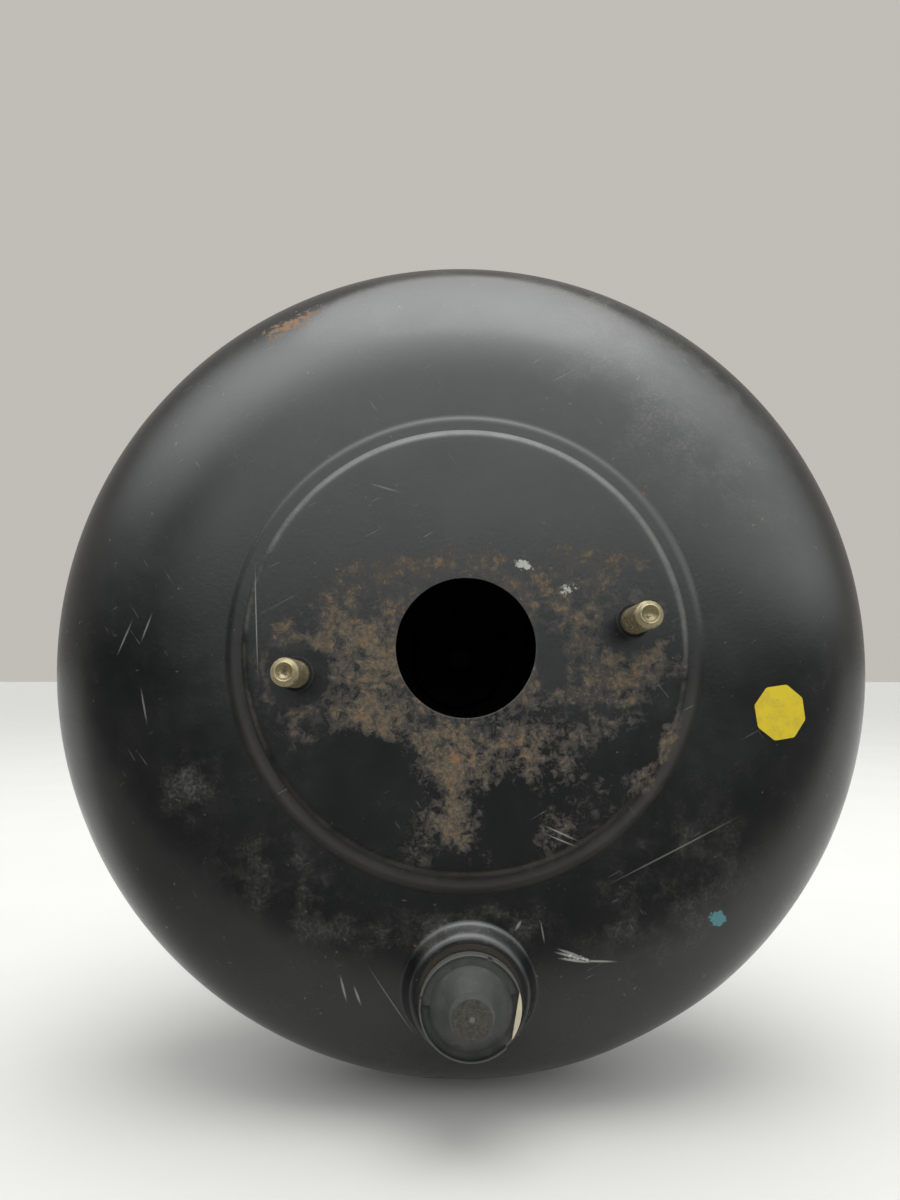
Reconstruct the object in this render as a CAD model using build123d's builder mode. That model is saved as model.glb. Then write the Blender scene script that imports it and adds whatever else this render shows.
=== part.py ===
"""Single-diaphragm vacuum brake booster, 10 inch, as separate pieces.

Frame: the booster's axis is Y and +Z is up.  The origin is the centre of the
bulkhead face, the flat rear face of the rear shell (y = 0).  The master
cylinder bolts on at the front, on the negative Y side; the pedal rod leaves at
the rear, on the positive Y side.

Turned pieces are sketched as a meridian on the XY plane, x being the radius
and y the place along the axis, and revolved about Y.  All values are
millimetres or degrees.
"""
from build123d import *
import math
import os

# ---------------------------------------------------------------- housing
BODY_DEPTH = 124.0          # bulkhead face to master cylinder face
FRONT = -BODY_DEPTH         # y of the master cylinder face
WALL_R = 133.0              # outer radius of the front shell's wall
FRONT_SHEET = 1.4           # front shell thickness
REAR_SHEET = 1.6            # rear shell thickness
FIT = 0.05                  # radial clearance of a running fit
GAP = 0.3                   # clearance between bodies that only pass

PLATE_R = 64.6              # flat round seat of the master cylinder
GROOVE_R = 67.6             # outer foot of the groove round the seat
GROOVE_DEPTH = 1.5
DOME_CREST_R = 70.0         # radius where the dome is level with the seat
DOME_DEPTH = 39.0           # crest to the start of the straight wall
PILOT_R = 20.5              # bore for the master cylinder's nose

STUD_R = 4.0                # M8
STUD_SHOULDER_R = 4.8       # serrated part pressed through the sheets
STUD_SPACING = 100.0        # master cylinder studs, centre to centre
STUD_TILT = 9.0             # stud line against the horizontal
STUD_PROUD = 20.3           # length in front of the seat
FRONT_PLATE_R = 62.0        # reinforcement behind the seat
FRONT_PLATE_SHEET = 2.5

WALL_FLATS = ((138.0, 2.0), (297.0, 2.7))   # direction, depth of the pressed flats
FLAT_START = FRONT + 12.0
CRIMP_Y = -62.0             # joint between the two shells
SKIRT_R = 136.4             # outer radius of the crimped skirt
BEAD_THICK = 4.0            # diaphragm bead clamped in the crimp
FLANGE_R = SKIRT_R - FRONT_SHEET - 0.6      # edge of the rear shell's flange
CRIMP_TABS = 12
TAB_WIDTH = 22.0
TAB_INNER_R = 130.5

# ------------------------------------------------------------ vacuum port
PORT_X, PORT_Z = 0.8, -97.0
PORT_SEAT_R = 16.4          # raised round seat
PORT_FOOT_ROUND = 3.0
PORT_SEAT_ROUND = 1.7
PORT_SEAT = FRONT - 3.0     # y of the seat's face
PORT_HOLE_R = 9.5
GROMMET_R = 14.6
GROMMET_THICK = 3.5
GROMMET_BORE_R = 6.5
CAP_RIM_R = 13.9
CAP_RIM = FRONT - 11.6      # y of the cap's rim
STUMP_R = 5.7
STUMP_END = FRONT - 20.0

# ----------------------------------------------------------- rear of shell
NECK_BORE_R = 27.2
NECK_END = 27.0
REAR_PLATE_R = 60.0
REAR_PLATE_SHEET = 2.0
REAR_PLATE_FACE = -REAR_SHEET - REAR_PLATE_SHEET
BULKHEAD_STUD_X, BULKHEAD_STUD_Z = 40.0, 35.0
BULKHEAD_STUD_END = 24.0

# ------------------------------------------------------------ power piston
HUB_SEAT = -16.0            # rear of the hub flange, where the plate lies
HUB_FLANGE_R = 36.0
HUB_FLANGE = -22.0          # front of the hub flange, seat of the spring
HUB_PILOT_R = 28.7          # step that centres the return spring
HUB_MOUTH = -29.0
MOUTH_R = 14.0              # bore for reaction disc and rod head
MOUTH_OUTER_R = 17.0
MOUTH_FLOOR = -17.0
TUBE_R = 21.0               # rear tube of the valve body
TUBE_BORE_R = 18.5
TUBE_END = 57.0
PLATE_SHEET = 1.2           # diaphragm plate
RUBBER = 1.8                # diaphragm
SPRING_R, SPRING_WIRE = 31.0, 3.6
SPRING_TURNS = 5.5
ROD_TIP = -56.0             # front end of the output rod

# ------------------------------------------------------------- valve train
PLUNGER_R = 7.0
PLUNGER_NECK_R = 4.0
PLUNGER_NOSE = -15.0
PLUNGER_TRAVEL = 1.8
AIR_SEAT = 12.0             # rear edge of the plunger
AIR_SEAT_R = 8.4
VACUUM_SEAT = AIR_SEAT - 0.6
KEY_THICK = 2.5
KEY_REAR = REAR_PLATE_FACE - GAP
KEY_WIDTH = 15.0
KEY_REACH = 34.0            # end of the key below the axis
BALL_R = 5.0
BALL_Y = 5.0                # centre of the pedal rod's ball
ROD_R = 5.0                 # pedal rod, M10
FORK_BASE = 93.0
EYE_Y = 121.0
EYE_R = 5.0
FORK_GAP = 12.0
FORK_WIDTH = 24.0
FORK_HEIGHT = 22.0


def direction(angle):
    """Unit vector square to the axis, at an angle seen from the front."""
    turn = math.radians(angle)
    return Vector(math.cos(turn), 0, math.sin(turn))


def across(y, x=0.0, z=0.0):
    """Plane square to the axis at y, facing the front, its x along +X."""
    return Plane(origin=(x, y, z), x_dir=(1, 0, 0), z_dir=(0, -1, 0))


def port_edges(part):
    """Edges round the vacuum port's raised seat: those of its face, then those at its foot."""
    found = []
    for edge in part.edges():
        box = edge.bounding_box()
        middle = box.center()
        off_axis = math.hypot(middle.X - PORT_X, middle.Z - PORT_Z)
        if off_axis < PORT_SEAT_R / 2 and box.size.X < 3 * PORT_SEAT_R and box.max.Y < CRIMP_Y:
            found.append((box.max.Y, edge))
    face_y = min(y for y, edge in found)
    face = [edge for y, edge in found if y < face_y + FIT]
    foot = [edge for y, edge in found if y >= face_y + FIT]
    return face, foot


def front_form(inset):
    """Solid bounded by the front shell's outer surface, set in by inset."""
    face = FRONT + inset
    wall = WALL_R - inset
    dome_end = FRONT + DOME_DEPTH
    with BuildPart() as form:
        with BuildSketch():
            with BuildLine():
                Line((0, face), (DOME_CREST_R - 8, face))
                FilletPolyline(
                    (DOME_CREST_R - 8, face),
                    (PLATE_R, face),
                    (PLATE_R + 1.3, face + GROOVE_DEPTH),
                    (GROOVE_R, face + GROOVE_DEPTH),
                    (GROOVE_R + 1.6, face + 0.15),
                    (DOME_CREST_R, face),
                    radius=(0.9, 0.8, 1.2, 1.5),
                )
                EllipticalCenterArc(
                    (DOME_CREST_R, dome_end),
                    wall - DOME_CREST_R,
                    DOME_DEPTH - inset,
                    start_angle=-90,
                    arc_size=90,
                )
                if inset:
                    seat = CRIMP_Y - BEAD_THICK
                    skirt = SKIRT_R - inset
                    back = CRIMP_Y + REAR_SHEET
                    Polyline((wall, dome_end), (wall, seat), (skirt, seat), (skirt, back),
                             (TAB_INNER_R, back), (TAB_INNER_R, back + 8), (0, back + 8), (0, face))
                else:
                    shoulder = CRIMP_Y - BEAD_THICK - FRONT_SHEET
                    back = CRIMP_Y + REAR_SHEET + FRONT_SHEET
                    FilletPolyline((wall, dome_end), (wall, shoulder - 1.8), (SKIRT_R, shoulder + 1.2),
                                   (SKIRT_R, back), (0, back), radius=1.6)
                    Line((0, back), (0, face))
            make_face()
        revolve(axis=Axis.Y)
        # Pressed flats in the wall, clear of the skirt
        flat_end = CRIMP_Y - BEAD_THICK - FRONT_SHEET - 3.2
        for angle, depth in WALL_FLATS:
            out = direction(angle)
            middle = out * (wall - depth) + Vector(0, (FLAT_START + flat_end) / 2, 0)
            with BuildSketch(Plane(origin=middle, x_dir=(0, 1, 0), z_dir=out)):
                Rectangle(flat_end - FLAT_START, WALL_R)
            extrude(amount=2 * depth, mode=Mode.SUBTRACT)
        # Raised seat of the vacuum port
        with BuildSketch(across(PORT_SEAT + inset, PORT_X, PORT_Z)):
            Circle(PORT_SEAT_R - inset)
        extrude(amount=-25, taper=-6)
        fillet(port_edges(form.part)[1], PORT_FOOT_ROUND + inset)
        if not inset:
            fillet(port_edges(form.part)[0], PORT_SEAT_ROUND)
    return form.part


# ---------------------------------------------------------------- front shell
outer_form = front_form(0.0)
inner_form = front_form(FRONT_SHEET)

with BuildPart() as front_shell:
    add(outer_form)
    add(inner_form, mode=Mode.SUBTRACT)
    with BuildSketch(across(FRONT)):
        Circle(PILOT_R)
        with PolarLocations(STUD_SPACING / 2, 2, start_angle=STUD_TILT):
            Circle(STUD_SHOULDER_R + FIT)
    extrude(amount=-5, both=True, mode=Mode.SUBTRACT)
    with BuildSketch(across(PORT_SEAT, PORT_X, PORT_Z)):
        Circle(PORT_HOLE_R)
    extrude(amount=-8, both=True, mode=Mode.SUBTRACT)
    # The skirt's end is cut back between the tabs staked over the rear shell's flange
    with BuildSketch(across(CRIMP_Y + 0.5)):
        Circle(WALL_R + 10)
        with PolarLocations(WALL_R, CRIMP_TABS, start_angle=15):
            Rectangle(40, TAB_WIDTH, mode=Mode.SUBTRACT)
    extrude(amount=-8, mode=Mode.SUBTRACT)
front_shell.part.label = "front_shell"

# ------------------------------------------------ front reinforcement and studs
FRONT_PLATE = FRONT + FRONT_SHEET               # its front face
SPRING_SEAT = FRONT_PLATE + FRONT_PLATE_SHEET   # its rear face
STUD_HEAD_R, STUD_HEAD = 7.0, 2.5

with BuildPart() as front_reinforcement_plate:
    with BuildSketch(across(SPRING_SEAT)):
        Circle(FRONT_PLATE_R)
        Circle(PILOT_R + 1, mode=Mode.SUBTRACT)
        with PolarLocations(STUD_SPACING / 2, 2, start_angle=STUD_TILT):
            Circle(STUD_SHOULDER_R + FIT, mode=Mode.SUBTRACT)
    extrude(amount=FRONT_PLATE_SHEET)
    chamfer(front_reinforcement_plate.faces().sort_by(Axis.Y)[-1].outer_wire().edges(), 1.0)
front_reinforcement_plate.part.label = "front_reinforcement_plate"

with BuildPart() as master_cylinder_studs:
    with BuildSketch(across(SPRING_SEAT)):
        with PolarLocations(STUD_SPACING / 2, 2, start_angle=STUD_TILT):
            Circle(STUD_HEAD_R)
    extrude(amount=-STUD_HEAD)
    with BuildSketch(across(SPRING_SEAT)):
        with PolarLocations(STUD_SPACING / 2, 2, start_angle=STUD_TILT):
            Circle(STUD_SHOULDER_R)
    extrude(amount=FRONT_SHEET + FRONT_PLATE_SHEET)
    with BuildSketch(across(FRONT)):
        with PolarLocations(STUD_SPACING / 2, 2, start_angle=STUD_TILT):
            Circle(STUD_R)
    extrude(amount=STUD_PROUD)
    tips = master_cylinder_studs.faces().filter_by(Axis.Y).group_by(Axis.Y)[0]
    chamfer(tips.edges(), 0.9)
    with BuildSketch(across(FRONT - STUD_PROUD)):
        with PolarLocations(STUD_SPACING / 2, 2, start_angle=STUD_TILT):
            Circle(2.1)
    extrude(amount=-2.0, taper=20, mode=Mode.SUBTRACT)
master_cylinder_studs.part.label = "master_cylinder_studs"

# ----------------------------------------------------------------- rear shell
with BuildPart() as rear_shell:
    with BuildSketch():
        with BuildLine() as rear_line:
            FilletPolyline(
                (FLANGE_R, CRIMP_Y),
                (127.5, CRIMP_Y),
                (127.5, -46),
                (117, -33),
                (82, -20),
                (69, -REAR_SHEET),
                (NECK_BORE_R, -REAR_SHEET),
                (NECK_BORE_R, NECK_END),
                radius=(2.5, 8, 14, 7, 5, 2.5),
            )
            offset(amount=REAR_SHEET, side=Side.RIGHT)
        make_face()
    revolve(axis=Axis.Y)
    with BuildSketch(across(0)):
        with GridLocations(2 * BULKHEAD_STUD_X, 2 * BULKHEAD_STUD_Z, 2, 2):
            Circle(STUD_SHOULDER_R + FIT)
    extrude(amount=4, mode=Mode.SUBTRACT)
rear_shell.part.label = "rear_shell"

with BuildPart() as rear_reinforcement_plate:
    with BuildSketch(across(-REAR_SHEET)):
        Circle(REAR_PLATE_R)
        Circle(NECK_BORE_R + 3.2, mode=Mode.SUBTRACT)
        with GridLocations(2 * BULKHEAD_STUD_X, 2 * BULKHEAD_STUD_Z, 2, 2):
            Circle(STUD_SHOULDER_R + FIT, mode=Mode.SUBTRACT)
    extrude(amount=REAR_PLATE_SHEET)
rear_reinforcement_plate.part.label = "rear_reinforcement_plate"

with BuildPart() as bulkhead_studs:
    with BuildSketch(across(REAR_PLATE_FACE)):
        with GridLocations(2 * BULKHEAD_STUD_X, 2 * BULKHEAD_STUD_Z, 2, 2):
            Circle(STUD_HEAD_R)
    extrude(amount=STUD_HEAD)
    with BuildSketch(across(REAR_PLATE_FACE)):
        with GridLocations(2 * BULKHEAD_STUD_X, 2 * BULKHEAD_STUD_Z, 2, 2):
            Circle(STUD_SHOULDER_R)
    extrude(amount=REAR_PLATE_FACE)
    with BuildSketch(across(0)):
        with GridLocations(2 * BULKHEAD_STUD_X, 2 * BULKHEAD_STUD_Z, 2, 2):
            Circle(STUD_R)
    extrude(amount=-BULKHEAD_STUD_END)
    chamfer(bulkhead_studs.faces().filter_by(Axis.Y).group_by(Axis.Y)[-1].edges(), 0.9)
bulkhead_studs.part.label = "bulkhead_studs"

# ------------------------------------------------------------- seals of the neck
BEARING_START, SEAL_START, RETAINER_START = 1.5, 11.0, 20.5

with BuildPart() as rear_bearing_ring:
    with BuildSketch():
        with BuildLine():
            Polyline((TUBE_R + FIT, BEARING_START), (NECK_BORE_R, BEARING_START),
                     (NECK_BORE_R, SEAL_START), (TUBE_R + FIT, SEAL_START), close=True)
        make_face()
    revolve(axis=Axis.Y)
    chamfer(rear_bearing_ring.edges(), 0.6)
rear_bearing_ring.part.label = "rear_bearing_ring"

with BuildPart() as rear_seal:
    with BuildSketch():
        with BuildLine():
            Polyline((NECK_BORE_R, SEAL_START), (NECK_BORE_R, RETAINER_START),
                     (NECK_BORE_R - 1.6, RETAINER_START), (NECK_BORE_R - 2.2, SEAL_START + 3),
                     (TUBE_R + 1.9, SEAL_START + 3), (TUBE_R + 1.4, RETAINER_START - 1),
                     (TUBE_R + FIT, RETAINER_START - 1), (TUBE_R + FIT, RETAINER_START - 2.5),
                     (TUBE_R + 0.6, SEAL_START), close=True)
        make_face()
    revolve(axis=Axis.Y)
rear_seal.part.label = "rear_seal"

with BuildPart() as seal_retainer_ring:
    with BuildSketch():
        with BuildLine():
            Polyline((NECK_BORE_R, RETAINER_START), (NECK_BORE_R, NECK_END - 0.8),
                     (NECK_BORE_R - 1, NECK_END - 0.8), (NECK_BORE_R - 1, RETAINER_START + 1.2),
                     (TUBE_R + 1.2, RETAINER_START + 1.2), (TUBE_R + 1.2, RETAINER_START), close=True)
        make_face()
    revolve(axis=Axis.Y)
seal_retainer_ring.part.label = "seal_retainer_ring"

# ------------------------------------------------------- vacuum port and check valve
PORT_AXIS = Axis((PORT_X, 0, PORT_Z), (0, 1, 0))
PORT_MERIDIAN = Plane(origin=(PORT_X, 0, PORT_Z), x_dir=(1, 0, 0), z_dir=(0, 0, 1))
SEAT_INNER = PORT_SEAT + FRONT_SHEET
GROMMET_TOP = PORT_SEAT - GROMMET_THICK
VALVE_FLANGE = GROMMET_TOP - 1.8        # front of the check valve's flange
DISC_R, DISC_THICK, DISC_LIFT = 7.0, 1.6, 1.5
VALVE_CHAMBER_R = 9.6

with BuildPart() as vacuum_grommet:
    with BuildSketch(PORT_MERIDIAN):
        with BuildLine():
            Polyline((GROMMET_BORE_R, GROMMET_TOP), (GROMMET_R, GROMMET_TOP), (GROMMET_R, PORT_SEAT),
                     (PORT_HOLE_R, PORT_SEAT), (PORT_HOLE_R, SEAT_INNER), (PORT_HOLE_R + 2.2, SEAT_INNER),
                     (PORT_HOLE_R + 0.6, SEAT_INNER + 4), (GROMMET_BORE_R, SEAT_INNER + 4), close=True)
        make_face()
    revolve(axis=PORT_AXIS)
    chamfer(vacuum_grommet.edges().group_by(Axis.Y)[0].sort_by(SortBy.LENGTH)[-1], 0.7)
vacuum_grommet.part.label = "vacuum_grommet"

with BuildPart() as check_valve_body:
    with BuildSketch(PORT_MERIDIAN):
        with BuildLine():
            Polyline((4.2, SEAT_INNER + 8), (4.2, VALVE_FLANGE - 0.8), (5.6, VALVE_FLANGE - 0.8),
                     (6.0, VALVE_FLANGE), (CAP_RIM_R - 0.6, VALVE_FLANGE),
                     (CAP_RIM_R - 0.6, GROMMET_TOP), (GROMMET_BORE_R, GROMMET_TOP),
                     (GROMMET_BORE_R, SEAT_INNER + 4), (GROMMET_BORE_R + 0.7, SEAT_INNER + 4.6),
                     (GROMMET_BORE_R - 0.7, SEAT_INNER + 8), close=True)
        make_face()
    revolve(axis=PORT_AXIS)
check_valve_body.part.label = "check_valve_body"

DISC_SEAT = VALVE_FLANGE - 0.8 - FIT
with BuildPart() as check_valve_disc:
    with BuildSketch(PORT_MERIDIAN):
        with BuildLine():
            Polyline((0, DISC_SEAT), (DISC_R, DISC_SEAT), (DISC_R, DISC_SEAT - 1), (DISC_R - 1.5, DISC_SEAT - 1),
                     (2.5, DISC_SEAT - 1), (2.5, DISC_SEAT - DISC_THICK), (0, DISC_SEAT - DISC_THICK), close=True)
        make_face()
    revolve(axis=PORT_AXIS)
check_valve_disc.part.label = "check_valve_disc"

CAP_CONE_R, CAP_WALL = 12.2, 1.3
CAP_BREAK_X = 11.0          # the rim is broken away beyond this chord

with BuildPart() as check_valve_cap:
    with BuildSketch(PORT_MERIDIAN):
        with BuildLine():
            Polyline((0, STUMP_END), (STUMP_R, STUMP_END), (STUMP_R + 0.4, STUMP_END + 3.0),
                     (CAP_CONE_R, CAP_RIM + 1.0), (CAP_CONE_R, CAP_RIM + 2.2), (CAP_RIM_R - 0.9, CAP_RIM + 2.2),
                     (CAP_RIM_R - 0.9, CAP_RIM), (CAP_RIM_R, CAP_RIM), (CAP_RIM_R, VALVE_FLANGE),
                     (VALVE_CHAMBER_R, VALVE_FLANGE), (VALVE_CHAMBER_R, CAP_RIM + 0.2),
                     (3.4, STUMP_END + 4.4), (0, STUMP_END + 4.4), close=True)
        make_face()
    revolve(axis=PORT_AXIS)
    with BuildSketch(across(CAP_RIM + 2.2, PORT_X, PORT_Z)):
        with Locations((CAP_RIM_R, -3.5)):
            Rectangle(2 * (CAP_RIM_R - CAP_BREAK_X), 12.5)
        with PolarLocations(CAP_RIM_R, 2, start_angle=68, angular_range=100):
            Rectangle(2.4, 1.2)
    extrude(amount=8, mode=Mode.SUBTRACT)
check_valve_cap.part.label = "check_valve_cap"


def coil(wire_r, mean_r, start, end, turns, x=0.0, z=0.0):
    """Compression spring about an axis along Y, its wire between start and end."""
    reach = end - start - 2 * wire_r
    with BuildPart() as spring:
        with BuildLine() as path:
            Helix(reach / turns, reach, mean_r, center=(x, start + wire_r, z), direction=(0, 1, 0))
        with BuildSketch(Plane(origin=path.line @ 0, z_dir=path.line % 0)):
            Circle(wire_r)
        sweep(is_frenet=True)
    return spring.part


with BuildPart() as check_valve_spring:
    add(coil(0.3, 3.6, STUMP_END + 5.2, DISC_SEAT - DISC_THICK + 0.5, 5, PORT_X, PORT_Z))
check_valve_spring.part.label = "check_valve_spring"

# ---------------------------------------------------------------- valve body
CORE_BORE_R = PLUNGER_R + FIT
CHAMBER = 8.0               # front wall of the chamber behind the core
WELL_R, WELL = 11.0, 5.0    # pocket inside the vacuum seat
SEAT_R = 11.6
BEAD_GROOVE_R, BEAD_GROOVE = 22.0, -14.3
BEAD_LAND = -10.3
SLOT_X = KEY_WIDTH / 2 + 0.3
PASSAGE_R = 2.2

with BuildPart() as valve_body:
    with BuildSketch():
        with BuildLine():
            Polyline(
                (MOUTH_R, HUB_MOUTH + 1), (MOUTH_R + 1, HUB_MOUTH), (MOUTH_OUTER_R, HUB_MOUTH),
                (MOUTH_OUTER_R, HUB_FLANGE - 2), (HUB_PILOT_R - 0.8, HUB_FLANGE - 2),
                (HUB_PILOT_R, HUB_FLANGE - 1.2), (HUB_PILOT_R, HUB_FLANGE), (HUB_FLANGE_R, HUB_FLANGE),
                (HUB_FLANGE_R, HUB_SEAT), (24, HUB_SEAT), (24, BEAD_GROOVE), (BEAD_GROOVE_R, BEAD_GROOVE),
                (BEAD_GROOVE_R, BEAD_LAND), (24, BEAD_LAND), (24, BEAD_LAND + 1.8), (TUBE_R, BEAD_LAND + 3.5),
                (TUBE_R, TUBE_END), (TUBE_BORE_R, TUBE_END), (TUBE_BORE_R, CHAMBER), (SEAT_R + 1.6, CHAMBER),
                (SEAT_R + 0.8, VACUUM_SEAT), (SEAT_R, VACUUM_SEAT), (WELL_R, CHAMBER), (WELL_R, WELL),
                (CORE_BORE_R, WELL), (CORE_BORE_R, MOUTH_FLOOR), (MOUTH_R, MOUTH_FLOOR), close=True,
            )
        make_face()
    revolve(axis=Axis.Y)
    # Slot for the stop key, open below
    with BuildSketch(Plane(origin=(0, KEY_REAR - KEY_THICK / 2, 0), x_dir=(1, 0, 0), z_dir=(0, -1, 0))):
        with Locations((0, -8)):
            Rectangle(2 * SLOT_X, 35)
    extrude(amount=KEY_THICK / 2 + 0.1, both=True, mode=Mode.SUBTRACT)
    # Air passage from the pocket to the key slot
    with BuildSketch(across(WELL + 0.5, 0, -(PLUNGER_R + 2.2))):
        Rectangle(6, 3.4)
    extrude(amount=WELL + 0.5 - KEY_REAR, mode=Mode.SUBTRACT)
    # Vacuum passages, sloping outwards from the chamber to the hub's front
    for angle in (30, 90, 150):
        inner_end = direction(angle) * 15.6 + Vector(0, CHAMBER + 1, 0)
        outer_end = direction(angle) * 20.6 + Vector(0, HUB_FLANGE - 3, 0)
        with BuildSketch(Plane(origin=inner_end, z_dir=outer_end - inner_end)):
            Circle(PASSAGE_R)
        extrude(amount=(outer_end - inner_end).length, mode=Mode.SUBTRACT)
valve_body.part.label = "valve_body"

with BuildPart() as stop_key:
    with BuildSketch(across(KEY_REAR)):
        with BuildLine():
            half, top = KEY_WIDTH / 2, 8.0
            Polyline((-half, top - 2), (-half, -KEY_REACH + 1.5), (-half + 1.5, -KEY_REACH), (half - 1.5, -KEY_REACH),
                     (half, -KEY_REACH + 1.5), (half, top - 2), (half - 2, top), (-half + 2, top), close=True)
        make_face()
        Circle(PLUNGER_NECK_R + GAP, mode=Mode.SUBTRACT)
        with Locations((0, top / 2)):
            Rectangle(2 * (PLUNGER_NECK_R + GAP), top, mode=Mode.SUBTRACT)
    extrude(amount=KEY_THICK)
stop_key.part.label = "stop_key"

with BuildPart() as reaction_disc:
    with BuildSketch(across(MOUTH_FLOOR)):
        Circle(MOUTH_R)
    extrude(amount=4)
reaction_disc.part.label = "reaction_disc"

ROD_HEAD = MOUTH_FLOOR - 4
with BuildPart() as output_rod:
    with BuildSketch():
        with BuildLine():
            Polyline((0, ROD_TIP), (0, ROD_HEAD), (MOUTH_R - FIT, ROD_HEAD), (MOUTH_R - FIT, ROD_HEAD - 6),
                     (MOUTH_R - 1, ROD_HEAD - 7), (7.5, ROD_HEAD - 7), (5.5, ROD_HEAD - 10),
                     (5.5, ROD_TIP + 6))
            FilletPolyline((5.5, ROD_TIP + 6), (5.5, ROD_TIP), (0, ROD_TIP), radius=2.5)
        make_face()
    revolve(axis=Axis.Y)
output_rod.part.label = "output_rod"

with BuildPart() as output_rod_retainer:
    with BuildSketch():
        with BuildLine():
            Polyline((MOUTH_OUTER_R + FIT, HUB_FLANGE - 2), (MOUTH_OUTER_R + FIT, HUB_MOUTH),
                     (11.5, HUB_MOUTH))
            offset(amount=1.0, side=Side.LEFT)
        make_face()
    revolve(axis=Axis.Y)
output_rod_retainer.part.label = "output_rod_retainer"

# ------------------------------------------------------ diaphragm plate and rubber
RIM_R, RIM_FRONT = 110.0, -60.0
with BuildPart() as diaphragm_plate:
    with BuildSketch():
        with BuildLine():
            FilletPolyline((24, HUB_SEAT), (60, HUB_SEAT), (76, -28), (104, -39), (RIM_R, -46),
                           (RIM_R, RIM_FRONT), radius=(6, 8, 7, 5))
            offset(amount=PLATE_SHEET, side=Side.LEFT)
        make_face()
    revolve(axis=Axis.Y)
diaphragm_plate.part.label = "diaphragm_plate"

BEAD_R = FLANGE_R - 0.2
back = HUB_SEAT + PLATE_SHEET + 0.1
with BuildPart() as diaphragm:
    with BuildSketch():
        with BuildLine():
            FilletPolyline((24.1, back), (60.6, back), (76.7, back - 12), (104.7, back - 23),
                           (RIM_R + PLATE_SHEET + 0.2, -45.5), (RIM_R + PLATE_SHEET + 0.2, -66),
                           (124.6, -66), (125.8, CRIMP_Y - 2.8), (BEAD_R, CRIMP_Y - 2.8),
                           radius=(6, 8, 7, 5, 4, 4, 1.5))
            offset(amount=RUBBER, side=Side.LEFT)
        make_face()
        with Locations((BEAD_R - 2.5, CRIMP_Y - BEAD_THICK / 2)):
            Rectangle(5, BEAD_THICK)
        with Locations((BEAD_GROOVE_R + 2, (BEAD_GROOVE + BEAD_LAND) / 2)):
            Rectangle(4, BEAD_LAND - BEAD_GROOVE)
    revolve(axis=Axis.Y)
diaphragm.part.label = "diaphragm"

with BuildPart() as return_spring:
    add(coil(SPRING_WIRE / 2, SPRING_R, SPRING_SEAT, HUB_FLANGE, SPRING_TURNS))
return_spring.part.label = "return_spring"

# ---------------------------------------------------------------- valve train
with BuildPart() as air_valve_plunger:
    neck_front = KEY_REAR - KEY_THICK - 0.2
    neck_rear = KEY_REAR + PLUNGER_TRAVEL + GAP
    with BuildSketch():
        with BuildLine():
            Polyline((0, PLUNGER_NOSE), (PLUNGER_R - 1, PLUNGER_NOSE), (PLUNGER_R, PLUNGER_NOSE + 1),
                     (PLUNGER_R, neck_front), (PLUNGER_NECK_R, neck_front), (PLUNGER_NECK_R, neck_rear),
                     (PLUNGER_R, neck_rear), (PLUNGER_R, AIR_SEAT - 4), (AIR_SEAT_R, AIR_SEAT - 2.5),
                     (AIR_SEAT_R, AIR_SEAT), (AIR_SEAT_R - 0.9, AIR_SEAT), (AIR_SEAT_R - 1.6, AIR_SEAT - 0.8),
                     (BALL_R + FIT, AIR_SEAT - 0.8), (BALL_R + FIT, BALL_Y))
            ThreePointArc((BALL_R + FIT, BALL_Y),
                          ((BALL_R + FIT) * math.sqrt(0.5), BALL_Y - (BALL_R + FIT) * math.sqrt(0.5)),
                          (0, BALL_Y - BALL_R - FIT))
            Line((0, BALL_Y - BALL_R - FIT), (0, PLUNGER_NOSE))
        make_face()
    revolve(axis=Axis.Y)
air_valve_plunger.part.label = "air_valve_plunger"

POPPET_FACE = AIR_SEAT + 0.1
POPPET_SKIRT_R = 14.9
with BuildPart() as poppet_valve:
    with BuildSketch():
        with BuildLine():
            Polyline((6.8, POPPET_FACE), (SEAT_R + 2.6, POPPET_FACE), (POPPET_SKIRT_R, POPPET_FACE + 1),
                     (POPPET_SKIRT_R, 21), (POPPET_SKIRT_R - 1.4, 21), (POPPET_SKIRT_R - 1.4, POPPET_FACE + 2.4),
                     (6.8, POPPET_FACE + 2.4), close=True)
        make_face()
    revolve(axis=Axis.Y)
poppet_valve.part.label = "poppet_valve"

CUP_FRONT, CUP_REAR = 16.0, 30.0
with BuildPart() as poppet_retainer:
    with BuildSketch():
        with BuildLine():
            Polyline((TUBE_BORE_R, CUP_FRONT), (TUBE_BORE_R, CUP_FRONT + 4), (POPPET_SKIRT_R + 1.5, CUP_FRONT + 6),
                     (POPPET_SKIRT_R + 1.5, CUP_REAR), (8.6, CUP_REAR), (8.6, CUP_REAR - 1.2),
                     (POPPET_SKIRT_R + GAP, CUP_REAR - 1.2), (POPPET_SKIRT_R + GAP, CUP_FRONT), close=True)
        make_face()
    revolve(axis=Axis.Y)
poppet_retainer.part.label = "poppet_retainer"

with BuildPart() as poppet_spring:
    add(coil(0.5, 11.8, POPPET_FACE + 2.4, CUP_REAR - 1.2, 4))
poppet_spring.part.label = "poppet_spring"

SPRING_COLLAR = 38.0
with BuildPart() as rod_return_spring:
    add(coil(0.7, 8.8, CUP_REAR, SPRING_COLLAR, 3))
rod_return_spring.part.label = "rod_return_spring"

# ------------------------------------------------------------- air intake of the tube
FILTER_BORE_R = 9.6
with BuildPart() as silencer:
    with BuildSketch(across(46.5)):
        Circle(TUBE_BORE_R)
        Circle(FILTER_BORE_R, mode=Mode.SUBTRACT)
    extrude(amount=5)
silencer.part.label = "silencer"

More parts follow.
